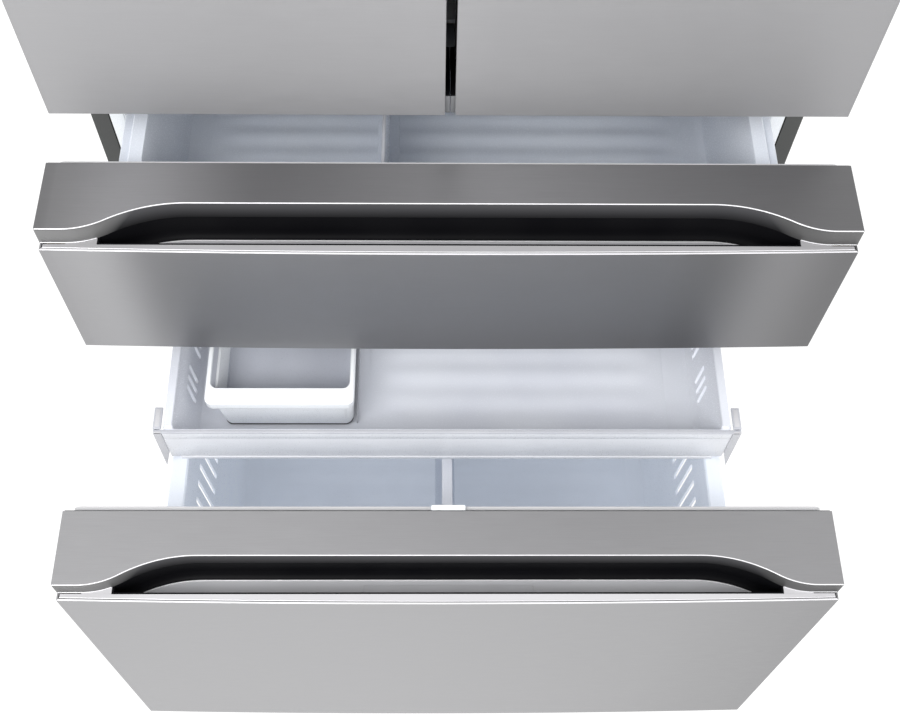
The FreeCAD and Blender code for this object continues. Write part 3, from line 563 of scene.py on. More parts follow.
def make_camera():
    """The camera looks down on the open drawers from above the doors."""
    data = bpy.data.cameras.new("camera")
    data.lens = LENS
    data.sensor_width = 36
    data.clip_start = 0.05
    data.clip_end = 60
    camera = bpy.data.objects.new("camera", data)
    bpy.context.scene.collection.objects.link(camera)
    level = math.cos(CAMERA_PITCH)
    ahead = Vector((math.sin(CAMERA_YAW) * level, math.cos(CAMERA_YAW) * level, -math.sin(CAMERA_PITCH)))
    right = Vector((math.cos(CAMERA_YAW), -math.sin(CAMERA_YAW), 0))
    down = ahead.cross(right)
    image_right = math.cos(CAMERA_ROLL) * right + math.sin(CAMERA_ROLL) * down
    image_down = math.cos(CAMERA_ROLL) * down - math.sin(CAMERA_ROLL) * right
    turn = Matrix((image_right, -image_down, -ahead)).transposed().to_4x4()
    origin = Vector((0, PLANE, DOOR_LOW)) + CAMERA_FROM_PLANE
    camera.matrix_world = Matrix.Translation(origin) @ turn
    bpy.context.scene.camera = camera


def area_light(name, place_at, aim, size, power):
    """A white rectangular lamp that faces aim."""
    data = bpy.data.lights.new(name, "AREA")
    data.shape = "RECTANGLE"
    data.size, data.size_y = size
    data.energy = power
    lamp = bpy.data.objects.new(name, data)
    bpy.context.scene.collection.objects.link(lamp)
    lamp.location = place_at
    lamp.rotation_mode = "QUATERNION"
    lamp.rotation_quaternion = (Vector(aim) - Vector(place_at)).to_track_quat("-Z", "Y")


def make_studio():
    """White surroundings, two lamps and a white floor."""
    world = bpy.data.worlds.new("studio")
    bpy.context.scene.world = world
    world.use_nodes = True
    background = world.node_tree.nodes["Background"]
    background.inputs["Color"].default_value = (1, 1, 1, 1)
    background.inputs["Strength"].default_value = 1.0
    area_light("key", (-1.6, -2.6, 3.6), (0, -0.4, 0.8), (2.6, 2.0), 120)
    area_light("fill", (2.4, -2.6, 2.6), (0, -0.3, 0.8), (2.4, 2.0), 60)

    bm = bmesh.new()
    bmesh.ops.create_grid(bm, x_segments=8, y_segments=8, size=14)
    floor = from_bmesh("floor", bm)
    material, tree, node = shader("floor_white", (0.1, 0.1, 0.1), 0.7)
    soft = noise(tree, (0.6, 0.6, 0.6), 2)
    tree.links.new(blend_color(tree, soft, (0.09, 0.09, 0.09), (0.11, 0.11, 0.11)), node.inputs["Base Color"])
    node.inputs["Emission Color"].default_value = (1, 1, 1, 1)
    node.inputs["Emission Strength"].default_value = 0.98
    floor.data.materials.append(material)
    bpy.context.scene.view_settings.view_transform = "Standard"


make_camera()
make_studio()

# ------------------------------------------------------------------ shared outlines


def wave(start, offset=0.0, steps=14):
    """The grip's rear edge as (x, y) from x = -start to start, moved back by offset."""
    run = WAVE_OUTER - WAVE_INNER
    turn = 2 * math.atan(WAVE_DEPTH / run)
    middle_radius = run / math.sin(turn) - WAVE_END_RADIUS + offset
    end_radius = WAVE_END_RADIUS - offset
    middle_y = LIP_BACK + WAVE_DEPTH + offset
    lean = math.asin((WAVE_OUTER - start) / end_radius)
    right = []
    for step in range(steps + 1):
        angle = turn * step / steps
        right.append((WAVE_INNER + middle_radius * math.sin(angle),
                middle_y - middle_radius * (1 - math.cos(angle))))
    for step in range(1, steps + 1):
        angle = turn + (lean - turn) * step / steps
        right.append((WAVE_OUTER - end_radius * math.sin(angle),
                LIP_BACK + WAVE_END_RADIUS - end_radius * math.cos(angle)))
    left = [(-x, y) for x, y in reversed(right)]
    return left + right


def bowed(inset, count=40):
    """A bowed front edge as (x, y) from left to right, moved in by inset."""
    half = HALF - inset
    points = []
    for step in range(count + 1):
        x = -half + 2 * half * step / count
        points.append((x, inset - BOW * (1 - (x / half) ** 2)))
    return points


def shifted(points, by):
    """(x, y) points moved along Y."""
    return [(x, y + by) for x, y in points]


# ------------------------------------------------------------------ drawers


def closed_in(points, y, inset):
    """A front edge closed by a straight back edge at y, with both ends moved in."""
    return points + [(HALF - inset, y), (-HALF + inset, y)]


def foam_core(name, plane, low, ledge, high, pocket_floor, pocket):
    """Foam behind a drawer's skin, with room for the grip pocket."""
    skin_gap = 0.0035
    body = prism("foam_body", shifted(closed_in(bowed(skin_gap), PANEL_BACK - 0.001, skin_gap), plane),
            low + 0.013, ledge - 0.008)
    upper = prism("foam_upper", shifted([(-HALF + 0.012, 0.03), (HALF - 0.012, 0.03),
            (HALF - 0.012, PANEL_BACK - 0.001), (-HALF + 0.012, PANEL_BACK - 0.001)], plane), ledge - 0.009,
            high - 0.004)
    room = prism("foam_room", shifted(pocket, plane), pocket_floor - 0.004, high)
    core = carved(joined(name + "_foam", [body, upper]), [room])
    place(core, name, FOAM, [name + "_core"])


def drawer_sheet(name, plane, low, ledge, steel):
    """A drawer's bowed sheet, and the hem along its top edge in near-white steel, a painted highlight on the
    rounded edge.
    """
    outline = bowed(0) + [(HALF, PANEL_BACK), (HALF - SHEET, PANEL_BACK)] + bowed(SHEET)[::-1]
    outline += [(-HALF + SHEET, PANEL_BACK), (-HALF, PANEL_BACK)]
    front = prism(name + "_front", shifted(outline, plane), low, ledge - 0.0004, 0.0006, 3)
    place(front, name, steel, [name + "_skin"])
    hem_line = bowed(0.0002) + bowed(SHEET)[::-1]
    hem = prism(name + "_front_hem", shifted(hem_line, plane), ledge - 0.0008, ledge, 0.0003, 2)
    place(hem, name, PAINTED_HIGHLIGHT_STEEL)


def ledge_trim(name, plane, ledge, material):
    """The trim on the ledge with its ends beside the grip, a bright bead along its front edge that is a
    painted highlight, and a dark strip.
    """
    groove = 0.0011
    rim_black = 0.0012
    edge = bowed(SHEET + groove)
    trim = prism(name + "_ledge_trim", shifted(closed_in(edge, LIP_BACK - rim_black, SHEET + groove),
            plane), ledge - 0.006, ledge - 0.0002, 0.0005, 3)
    end_y = LIP_BACK + WAVE_END_RADIUS - math.sqrt(WAVE_END_RADIUS ** 2 - (WAVE_OUTER - POCKET_HALF) ** 2)
    start = POCKET_HALF + POCKET_WALL + 0.0001
    trims = [trim]
    for side in (-1, 1):
        rear = [(WAVE_OUTER - (WAVE_OUTER - start) * step / 6,
                LIP_BACK + (end_y - LIP_BACK) * (step / 6) ** 2 + 0.0012) for step in range(7)]
        corner = [(start, LIP_BACK - rim_black - 0.0003), (WAVE_OUTER, LIP_BACK - rim_black - 0.0003)] + rear
        corner = [(side * x, y) for x, y in corner]
        trims.append(prism("trim_end", shifted(corner, plane), ledge - 0.006, ledge - 0.0003, 0.0003, 1))
    place(joined(name + "_ledge_trim", trims), name, material)
    # bright bead: a painted highlight along the trim's front edge
    edge_line = tube(name + "_trim_highlight_bead", flat(shifted(edge, plane + 0.0005), ledge - 0.0005), 0.00055)
    place(edge_line, name, PAINTED_HIGHLIGHT_STEEL)
    filler = prism(name + "_groove_strip", shifted(closed_in(bowed(SHEET - 0.0002), LIP_BACK, SHEET),
            plane), ledge - 0.007, ledge - 0.0016, 0.0002, 1)
    place(filler, name, DARK_PLASTIC)


def drawer_cap(name, plane, ledge, high, steel, wall_steel):
    """The cap with its wave, whose front wall is the grip's rear wall, and its bright beads, painted
    highlights along its rounded edges.
    """
    def cap_outline(rear):
        """The cap from above, as far back as rear."""
        return [(-HALF, LIP_BACK)] + wave(WAVE_OUTER) + [(HALF, LIP_BACK), (HALF, rear), (-HALF, rear)]

    plate_low = high - 0.003
    plate = prism("cap_plate", shifted(cap_outline(FRONT_DEPTH), plane), plate_low, high, 0.0005, 3)
    skirt = prism("cap_skirt", shifted(cap_outline(PANEL_BACK), plane), ledge + 0.0002, plate_low)
    cap = joined(name + "_top", [plate, skirt])
    place(cap, name, steel, [name + "_cap"], [grip_wall(name + "_grip_wall", high, wall_steel)])
    for face in cap.data.polygons:
        front_wall = face.normal.y < -0.5 and face.center.z < high - 0.001
        face.material_index = 1 if front_wall else 0

    # bright beads along the wave's edge and along the skirts' lower edges: painted highlights
    rim = [(-HALF + 0.001, LIP_BACK)] + wave(WAVE_OUTER) + [(HALF - 0.001, LIP_BACK)]
    bead = tube(name + "_rim_highlight_bead", flat(shifted(rim, plane + 0.0002), high - 0.0007), 0.00075)
    place(bead, name, PAINTED_HIGHLIGHT_STEEL)
    hems = []
    for side in (-1, 1):
        ends = [(side * (HALF - 0.001), LIP_BACK)]
        ends += [(x, y) for x, y in wave(WAVE_OUTER) if side * x > POCKET_HALF + 0.001]
        ends.sort(key=lambda point: -abs(point[0]))
        hems.append(tube("hem", flat(shifted(ends, plane), ledge + 0.0006), 0.0006))
    place(joined(name + "_hem_highlight_beads", hems), name, PAINTED_HIGHLIGHT_STEEL)


def grip_pocket(name, plane, ledge, floor):
    """The black pocket under the wave, its lighter floor and a bright bead along the floor's rear edge, a
    painted highlight. Returns the pocket's outline.
    """
    def level(offset, height):
        """The pocket's outline at one height, its rear edge moved forward from the wave by -offset."""
        ring = [(x, max(y, LIP_BACK + 0.0004)) for x, y in wave(POCKET_HALF, offset)]
        ring += [(POCKET_HALF, LIP_BACK), (-POCKET_HALF, LIP_BACK)]
        return flat(shifted(ring, plane), height)

    grown = wave(POCKET_HALF + POCKET_WALL, POCKET_WALL)
    grown += [(POCKET_HALF + POCKET_WALL, LIP_BACK - POCKET_WALL),
            (-POCKET_HALF - POCKET_WALL, LIP_BACK - POCKET_WALL)]
    outer = [flat(shifted(grown, plane), height) for height in (floor - POCKET_WALL, ledge - 0.0002)]
    rings = outer + [level(0, ledge - 0.0002)]
    for step in range(6):
        angle = math.pi / 2 * step / 5
        rings.append(level(-POCKET_FILLET * (1 - math.cos(angle)),
                floor + POCKET_FILLET * (1 - math.sin(angle))))
    pocket = loft(name + "_grip_pocket", rings)
    place(pocket, name, GRIP_BLACK, [name + "_pocket"])

    rear_edge = [(x, y) for x, y in wave(POCKET_HALF, -POCKET_FILLET + 0.0004) if y > LIP_BACK + 0.0012]
    reach = rear_edge[-1][0]
    mat_ring = rear_edge + [(reach, LIP_BACK + 0.0006), (-reach, LIP_BACK + 0.0006)]
    base = prism(name + "_grip_floor", shifted(mat_ring, plane), floor + 0.0001, floor + 0.002, 0.0005, 2)
    place(base, name, GRIP_FLOOR)
    # bright bead along the floor's rear edge: a painted highlight
    floor_bead = tube(name + "_grip_highlight_bead", flat(shifted(rear_edge, plane), floor + 0.0022), 0.0008)
    place(floor_bead, name, PAINTED_HIGHLIGHT_STEEL)
    return grown


def drawer_front(name, cap_steel, face_steel, wall_steel, trim_material):
    """A drawer's whole front. Returns the place of its face along Y, and its top."""
    cap_low, cap_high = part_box(name + "_cap")
    plane = cap_low.y - LIP_BACK
    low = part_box(name + "_skin")[0].z
    high = cap_high.z
    ledge = high - LEDGE_DROP
    floor = high - POCKET_DROP

    drawer_sheet(name, plane, low, ledge, face_steel)
    ledge_trim(name, plane, ledge, trim_material)
    drawer_cap(name, plane, ledge, high, cap_steel, wall_steel)
    pocket = grip_pocket(name, plane, ledge, floor)
    foam_core(name, plane, low, ledge, high, floor, pocket)
    closure = prism(name + "_lower_closure", shifted(closed_in(bowed(SHEET + 0.0003), PANEL_BACK - 0.001,
            SHEET + 0.0003), plane), low + 0.0012, low + 0.012, 0.0006, 2)
    place(closure, name, DARK_PLASTIC)
    return plane, high


def inner_panel(name):
    """Plastic panel behind a drawer's front, its edge folded over the cap, with a dark strip along its top
    edge that paints the shade of the narrow gap there.
    """
    low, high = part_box(name + "_inner_panel")
    plate = block("plate", (low.x, low.y + 0.0006, low.z), (high.x, high.y, high.z - 0.0035), 0.0006, 2)
    pad = block("pad", (low.x + 0.034, high.y - 0.0005, low.z + 0.034),
            (high.x - 0.034, high.y + 0.002, high.z - 0.034), 0.0018, 3)
    place(joined(name + "_back_panel", [plate, pad]), name, LINER_WHITE,
            [name + "_inner_panel"])
    # dark strip along the panel's top edge: painted shade for the gap
    seam = block(name + "_panel_shade_strip", (low.x + 0.001, high.y - 0.0006, high.z - 0.003),
            (high.x - 0.001, high.y + 0.0012, high.z - 0.0004), 0.0003, 2)
    place(seam, name, DARK_PLASTIC)


def gasket(name, body):
    """Bellows gasket: a magnet bead behind two folds."""
    low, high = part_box(name + "_gasket")
    depth = high.y - low.y
    profile = [(0.0005, 0), (0.0, 0.2), (0.0018, 0.34), (0.0, 0.5), (0.0, 0.93), (0.001, 1.0), (0.012, 1.0),
            (0.0135, 0.9), (0.0135, 0.55), (0.0118, 0.4), (0.0135, 0.25), (0.013, 0)]
    points = [(inset, low.y + share * depth) for inset, share in profile]
    ring = picture_frame(name + "_seal", (low.x, high.x), (low.z, high.z), points, 0.008)
    place(ring, body, GASKET, [name + "_gasket"])


def slanted_slots(side_x, centres, length, width, lean, depth=0.05):
    """Cutters for leaning slots through a bin's side wall, at (y, z) centres."""
    outline = rounded(-width / 2, width / 2, -length / 2, length / 2, width / 2 - 1e-4, 4)
    cutters = []
    for y, z in centres:
        cutter = loft("slot_cutter", [[(x, a, b) for a, b in outline] for x in (-depth, depth)])
        cutter.data.transform(Matrix.Translation((side_x, y, z)) @ Matrix.Rotation(lean, 4, "X"))
        cutters.append(cutter)
    return cutters


drawer_front("middle_drawer", STEEL_DARK_CAP, STEEL_DARK_FACE, 0.25, TRIM_DARK)
freezer_plane, freezer_high = drawer_front("freezer_drawer", STEEL_CAP, STEEL_FACE, 0.2,
        TRIM_LIGHT)
for drawer in ("middle_drawer", "freezer_drawer"):
    inner_panel(drawer)
    gasket(drawer, drawer)


def middle_bin():
    """The middle drawer's frosted tub, with a stepped rim and a ribbed floor."""
    low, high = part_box("middle_drawer_bin")
    half, shoulder, mouth, foot_half = 0.388, 0.376, 0.358, 0.335
    front, back = low.y, high.y
    step = 0.008
    wall = 0.003

    rings = [
        (foot_half, 0.024, low.z, 0.02),
        (foot_half + 0.008, 0.016, low.z + 0.003, 0.024),
        (foot_half + 0.012, 0.012, low.z + 0.012, 0.026),
        (mouth + wall, 0.004, high.z - 0.03, 0.026),
        (half - 0.001, 0.001, high.z - step - 0.006, 0.03),
        (half, 0, high.z - step - 0.005, 0.03),
        (half, 0, high.z - step - 0.001, 0.03),
        (half - 0.001, 0.0005, high.z - step, 0.03),
        (shoulder + 0.001, 0.0015, high.z - step, 0.03),
        (shoulder, 0.002, high.z - step + 0.001, 0.03),
        (shoulder, 0.002, high.z - 0.0015, 0.03),
        (shoulder - 0.0015, 0.003, high.z, 0.029),
        (mouth + 0.0015, 0.009, high.z, 0.026),
        (mouth, 0.0105, high.z - 0.002, 0.025),
        (foot_half + 0.009, 0.016, low.z + 0.014, 0.023),
        (foot_half + 0.005, 0.02, low.z + 0.006, 0.021),
        (foot_half - 0.003, 0.027, low.z + 0.003, 0.017),
    ]
    item = even_tub("middle_drawer_tub", front, back, rings)
    place(item, "middle_drawer", FROSTED, ["middle_drawer_bin"])
    mat = ribbed_mat("middle_drawer_tub_floor", (-0.312, 0.312), (front + 0.032, back - 0.03),
            low.z + 0.003, 13, 0.0022)
    place(mat, "middle_drawer", FROSTED)


SLOT_FIRST = 0.0515
SLOT_PITCH = 0.0247
SLOT_MIDDLE = 0.353
SLOT_LENGTH = 0.106
SLOT_LEAN = math.radians(1.8)


def freezer_bin():
    """The freezer drawer's tub, with a broad rim and a row of leaning slots in each side."""
    low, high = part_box("freezer_drawer_bin")
    half, mouth, foot_half = high.x, 0.345, 0.322
    front, back = low.y, high.y

    rings = [
        (foot_half, 0.024, low.z, 0.02),
        (foot_half + 0.008, 0.016, low.z + 0.003, 0.026),
        (foot_half + 0.012, 0.012, low.z + 0.012, 0.028),
        (mouth + 0.003, 0.004, high.z - 0.02, 0.028),
        (mouth + 0.003, 0.004, high.z - 0.012, 0.028),
        (half - 0.001, 0.0005, high.z - 0.012, 0.032),
        (half, 0, high.z - 0.011, 0.032),
        (half, 0, high.z - 0.0015, 0.032),
        (half - 0.0015, 0.001, high.z, 0.031),
        (mouth + 0.002, 0.009, high.z, 0.026),
        (mouth, 0.0105, high.z - 0.002, 0.025),
        (foot_half + 0.009, 0.018, low.z + 0.016, 0.024),
        (foot_half + 0.005, 0.022, low.z + 0.007, 0.022),
        (foot_half - 0.003, 0.028, low.z + 0.003, 0.018),
    ]
    item = even_tub("freezer_drawer_tub", front, back, rings)
    cutters = []
    for side in (-1, 1):
        spots = [(front + SLOT_FIRST + SLOT_PITCH * column, SLOT_MIDDLE) for column in range(14)]
        cutters += slanted_slots(side * 0.34, spots, SLOT_LENGTH, 0.0085, SLOT_LEAN)
    carved(item, cutters)
    # the tub and its floor glow faintly: painted light
    place(item, "freezer_drawer", FROSTED_LIT, ["freezer_drawer_bin"])
    mat = ribbed_mat("freezer_drawer_tub_floor", (-0.3, 0.3), (front + 0.034, back - 0.034), low.z + 0.003,
            11, 0.0024)
    place(mat, "freezer_drawer", FROSTED_LIT)


middle_bin()
freezer_bin()


def bin_divider(node_name, piece_name, body, cap_half, cap_material):
    """A moulded divider: thin blade with a capping strip, on a foot with rounded ends."""
    low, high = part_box(node_name)
    middle = (low.x + high.x) / 2
    blade = block("blade", (middle - 0.0015, low.y, low.z + 0.001),
            (middle + 0.0015, high.y, high.z - 0.002), 0.0012, 3)
    foot = block("foot", (low.x, low.y, low.z), (high.x, high.y, low.z + 0.004), 0.0012, 3)
    ends = []
    for y in (low.y, high.y - 0.012):
        ends.append(block("end", (low.x + 0.003, y, low.z), (high.x - 0.003, y + 0.012, low.z + 0.05),
                0.003, 3))
    place(joined(piece_name, [blade, foot] + ends), body, FROSTED, [node_name])
    cap = block(piece_name + "_cap", (middle - cap_half, low.y, high.z - 0.006),
            (middle + cap_half, high.y, high.z), 0.0012, 3)
    place(cap, body, cap_material)


bin_divider("middle_drawer_divider", "middle_drawer_partition", "middle_divider", 0.002, FROST_GREY)
bin_divider("freezer_drawer_divider", "freezer_drawer_partition", "freezer_divider", 0.007, BASKET_WHITE)

# small plate on the freezer grip's floor, and the clip at the middle of the freezer drawer's rear top edge
plate_z = freezer_high - POCKET_DROP + 0.002
plate = block("freezer_grip_plate", (-0.1005, freezer_plane + LIP_BACK + 0.002, plate_z - 0.0002),
        (0.1005, freezer_plane + 0.0285, plate_z + 0.0014), 0.0007, 3)
place(plate, "freezer_drawer", GRIP_FLOOR)
clip_back = freezer_plane + FRONT_DEPTH + 0.0095
clip = block("freezer_bin_clip", (-0.021, freezer_plane + FRONT_DEPTH, freezer_high - 0.012),
        (0.020, clip_back, freezer_high - 0.003), 0.002, 3)
place(clip, "freezer_drawer", WHITE)

# ------------------------------------------------------------------ basket and ice bin


BASKET_FRONT_DROP = 0.0035
BASKET_EAR = 0.0105                              # width of a wing
WING_TIP, WING_ROOT = 0.466, 0.506               # where a wing's plate ends, outside and inside


def basket_tub(low, high):
    """Shallow white tub with sloping slotted sides, a ribbed floor and a grey strip beside the ice bin that
    paints the shadow line along the bin's side.
    """
    half, floor_half, wall = 0.361, 0.333, 0.003
    front, back = low.y, high.y

    top = high.z - 0.0006
    rings = [
        (floor_half - 0.006, 0.008, low.z, 0.005),
        (floor_half + 0.001, 0.002, low.z + 0.002, 0.005),
        (floor_half + 0.004, 0.0, low.z + 0.008, 0.005),
        (half - 0.008, 0, top - 0.02, 0.005),
        (half, 0, top - 0.014, 0.005),
        (half, 0, top - 0.001, 0.005),
        (half - 0.001, 0.001, top, 0.005),
        (half - 0.0105, 0.002, top, 0.004),
        (half - 0.0115, wall, top - 0.0012, 0.004),
        (half - 0.0125, wall, top - 0.012, 0.004),
        (floor_half + 0.002, wall, low.z + 0.011, 0.004),
        (floor_half - wall, 0.002 + wall, low.z + 0.0045, 0.006),
        (floor_half - 0.01, 0.01, low.z + 0.003, 0.006),
    ]
    item = even_tub("freezer_basket_tub", front + 0.0036, back, rings)
    settle(item)
    for vertex in item.data.vertices:
        if vertex.co.y < front + 0.009 and vertex.co.z > high.z - 0.016:
            vertex.co.z -= BASKET_FRONT_DROP
    cutters = []
    for side in (-1, 1):
        spots = []
        for cluster in range(5):
            for column in range(3):
                spots.append((front + 0.0795 + 0.068 * cluster + 0.0148 * column, low.z + 0.032))
        cutters += slanted_slots(side * 0.344, spots, 0.033, 0.007, math.radians(-17), 0.02)
    carved(item, cutters)
    place(item, "freezer_basket", BASKET_WHITE, ["freezer_basket"])
    mat = ribbed_mat("freezer_basket_floor", (-0.105, 0.296), (front + 0.03, back - 0.03), low.z + 0.003,
            10, 0.0016)
    place(mat, "freezer_basket", BASKET_WHITE)
    ice_low, ice_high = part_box("ice_bin")
    # grey strip beside the ice bin: painted shadow line
    strip = block("freezer_basket_ice_bin_shade_strip", (ice_high.x + 0.0004, ice_low.y + 0.006, low.z + 0.0028),
            (ice_high.x + 0.0018, ice_high.y, low.z + 0.012), 0.0005, 2)
    place(strip, "freezer_basket", FROST_GREY)


def basket_front(low, high):
    """A pale front under a grey rail."""
    front, wing = low.y, high.x
    rail = block("freezer_basket_rail", (-wing + 0.001, front, high.z - 0.0065),
            (wing - 0.001, front + 0.0048, high.z - 0.0034), 0.0008, 3)
    place(rail, "freezer_basket", FROST_GREY)
    reach = wing - BASKET_EAR - 0.0005
    band = block("band", (-reach, front + 0.0002, high.z - 0.0205),
            (reach, front + 0.0034, high.z - 0.0066), 0.0006, 2)
    panel = block("panel", (-reach, front + 0.0012, low.z + 0.006), (reach, front + 0.0034, high.z - 0.02),
            0.0004, 2)
    rail_low = block("rail_low", (-reach + 0.012, front, low.z),
            (reach - 0.012, front + 0.0045, low.z + 0.007), 0.0014, 3)
    place(joined("freezer_basket_front", [band, panel, rail_low]), "freezer_basket", FROST_PALE)


def basket_wings(low, high):
    """A wing at each end of the front: a grey frame round a paler face."""
    front, inner, outer = low.y, high.x - BASKET_EAR, high.x
    outlines, faces = [], []
    for side in (-1, 1):
        outlines.append(block("wing_top", (side * inner, front + 0.0048, high.z - 0.0035),
                (side * outer, front + 0.035, high.z - 0.0004), 0.001, 3))
        faces.append(block("wing_pad", (side * (inner + 0.0022), front + 0.0075, high.z - 0.002),
                (side * (outer - 0.0022), front + 0.0325, high.z), 0.0008, 2))
        outlines.append(block("wing_side", (side * (outer - 0.0022), front + 0.0026, high.z - 0.03),
                (side * outer, front + 0.035, high.z - 0.003), 0.0008, 2))
        outline = [(outer, high.z - 0.0032), (outer, WING_TIP), (inner, WING_ROOT), (inner, high.z - 0.0032)]
        outline = [(side * x, z) for x, z in outline]
        plate = loft("wing_plate", [upright(outline, front), upright(outline, front + 0.0025)])
        faces.append(soften(plate, 0.0006, 2))
    place(joined("freezer_basket_wing_frames", outlines), "freezer_basket", FROST_GREY)
    place(joined("freezer_basket_wings", faces), "freezer_basket", FROST_WING)


def ice_bin():
    """White tub with a broad ledge along its front, its inside in a darker copy of its white as painted
    shade, and a thin shadow foot.
    """
    low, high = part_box("ice_bin")

    def section(left, right, near, z, radius):
        """Insets from the box at the left, right and front, and half the right one at the back."""
        return (low.x + left, high.x - right, low.y + near, high.y - right / 2, z, radius)

    ledge, wall = 0.0235, 0.0052
    rings = [
        section(0.024, 0.009, 0.0065, low.z + 0.0012, 0.008),
        section(0.0195, 0.0045, 0.003, low.z + 0.0022, 0.01),
        section(0.0185, 0.0035, 0.0022, low.z + 0.006, 0.011),
        section(0.0125, 0.0025, 0.0008, high.z - 0.017, 0.011),
        section(0.001, 0.0005, 0.0004, high.z - 0.0155, 0.01),
        section(0, 0, 0, high.z - 0.013, 0.01),
        section(0, 0, 0, high.z - 0.0018, 0.01),
        section(0.0018, 0.0018, 0.0018, high.z, 0.009),
        section(wall, wall, ledge - 0.001, high.z, 0.01),
        section(wall + 0.001, wall + 0.001, ledge, high.z - 0.0015, 0.01),
        section(0.0175, wall + 0.003, ledge + 0.002, low.z + 0.012, 0.012),
        section(0.0195, wall + 0.005, ledge + 0.005, low.z + 0.006, 0.01),
        section(0.0265, wall + 0.012, ledge + 0.012, low.z + 0.004, 0.007),
    ]
    item = tub("ice_bin_tub", rings)
    place(item, "ice_bin", WHITE, ["ice_bin"], [ICE_BIN_PAINTED_SHADE])
    # inner walls and floor take the darker copy: painted shade
    middle = (low + high) / 2
    for face in item.data.polygons:
        to_middle = Vector((middle.x - face.center.x, middle.y - face.center.y, 0))
        wall_inside = face.normal.dot(to_middle.normalized()) > 0.3 and face.center.z < high.z - 0.003
        floor_inside = face.normal.z > 0.5 and face.center.z < low.z + 0.02
        face.material_index = 1 if wall_inside or floor_inside else 0
    # dark ring just under the bin's edge: painted contact shadow
    foot = prism("ice_bin_shadow_foot", rounded(low.x + 0.0191, high.x - 0.0042, low.y + 0.0024, high.y - 0.004,
            0.01), low.z, low.z + 0.0018)
    place(foot, "ice_bin", DARK_PLASTIC)


for part in (basket_tub, basket_front, basket_wings):
    part(*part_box("freezer_basket"))
ice_bin()

# ------------------------------------------------------------------ french doors


GAP_STOP_TOP = 0.9147
CHANNEL_LOW, CHANNEL_HIGH = 0.9152, 1.7018       # hidden grip channel in a door's inner edge
DIKE_LOW, DIKE_HIGH = 1.125, 1.69                # ribs on the door's panel that hold the bins
FLAP_PIN_LOW, FLAP_PIN_HIGH = 0.925, 1.7


def french_door(side, name):
    """A door's sheet, closures, gasket, bins, plastic panel and its share of the gap."""
    body = name + "_door"
    edge, far = side * DOOR_EDGE, side * HALF
    x = sorted((edge, far))
    skin = block(body + "_front", (x[0], PLANE, DOOR_LOW), (x[1], PLANE + PANEL_BACK, DOOR_HIGH), 0.0009, 3)
    grip = block("grip", (side * 0.004, PLANE + 0.0122, CHANNEL_LOW),
            (side * 0.038, PLANE + 0.0638, CHANNEL_HIGH), 0.0)
    carved(skin, [grip])
    place(skin, body, STEEL_DOOR, [body + "_skin"])
    for label, z in (("lower", (DOOR_LOW - 0.0005, DOOR_LOW + 0.002)),
            ("upper", (DOOR_HIGH - 0.002, DOOR_HIGH + 0.0003))):
        cover = block(body + "_%s_closure" % label, (x[0] + 0.004, PLANE + 0.005, z[0]),
                (x[1] - 0.004, PLANE + 0.095, z[1]), 0.0005, 2)
        place(cover, body, DARK_PLASTIC)
    gasket(body, body)

    bins_low, bins_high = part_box(body + "_bins")
    tubs = []
    for level in range(3):
        low = bins_low.z + DOOR_BIN_PITCH * level
        tubs.append(simple_tub("door_tub", (bins_low.x, bins_high.x), (bins_low.y, bins_high.y),
                (low, low + 0.095), wall=0.003, taper=0.008, radius=0.02, rim=0.002, rim_drop=0.014))
    place(joined(body + "_tubs", tubs), body, CLEAR, [body + "_bins"])

    plate = block("plate", (x[0] + 0.001, PLANE + PANEL_BACK, DOOR_LOW + 0.001),
            (x[1] - 0.001, PLANE + FRONT_DEPTH, DOOR_HIGH - 0.001), 0.0008, 2)
    parts = [plate]
    for near in (0.046, 0.388):
        parts.append(block("dike", (side * near, PLANE + FRONT_DEPTH - 0.001, DIKE_LOW),
                (side * (near + 0.014), PLANE + 0.152, DIKE_HIGH), 0.005, 4))
    if side < 0:
        for z, pin_end in ((FLAP_PIN_LOW, 0.012), (FLAP_PIN_HIGH, -0.012)):
            parts.append(block("flap_ear", (-0.038, PLANE + FRONT_DEPTH - 0.001, z - 0.002),
                    (-0.024, PLANE + 0.124, z + 0.002), 0.0008, 2))
            parts.append(rod("flap_pin", (-0.031, PLANE + 0.117, z), (-0.031, PLANE + 0.117, z + pin_end),
                    0.003))
    place(joined(body + "_liner", parts), body, LINER_WHITE, [body + "_inner_panel"])

    # what closes the gap between the doors at their lower edge: a grey stop, and black pieces that are
    # painted shade for the deep gap, the 'shade' strip on the stop's top and the 'lip' behind it
    stop_top = GAP_STOP_TOP
    closers = [
        ("stop", (0.003, 0.058), (DOOR_LOW + 0.0015, stop_top), 0.0008, 3, GAP_GREY, "dark_plastic"),
        ("shade", (0.0045, 0.0575), (stop_top - 0.0003, stop_top + 0.0015), 0.0004, 2, GRIP_BLACK,
                "grip_black"),
        ("lip", (0.058, 0.1), (DOOR_LOW + 0.003, DOOR_LOW + 0.0045), 0.0004, 2, GRIP_BLACK, "gasket"),
    ]
    for label, y, z, round_by, segments, material, slot in closers:
        item = block(body + "_gap_" + label, (side * 0.0003, PLANE + y[0], z[0]),
                (side * (DOOR_EDGE + 0.0006), PLANE + y[1], z[1]), round_by, segments)
        place(item, body, material)


french_door(-1, "left")
french_door(1, "right")

# ------------------------------------------------------------------ cabinet


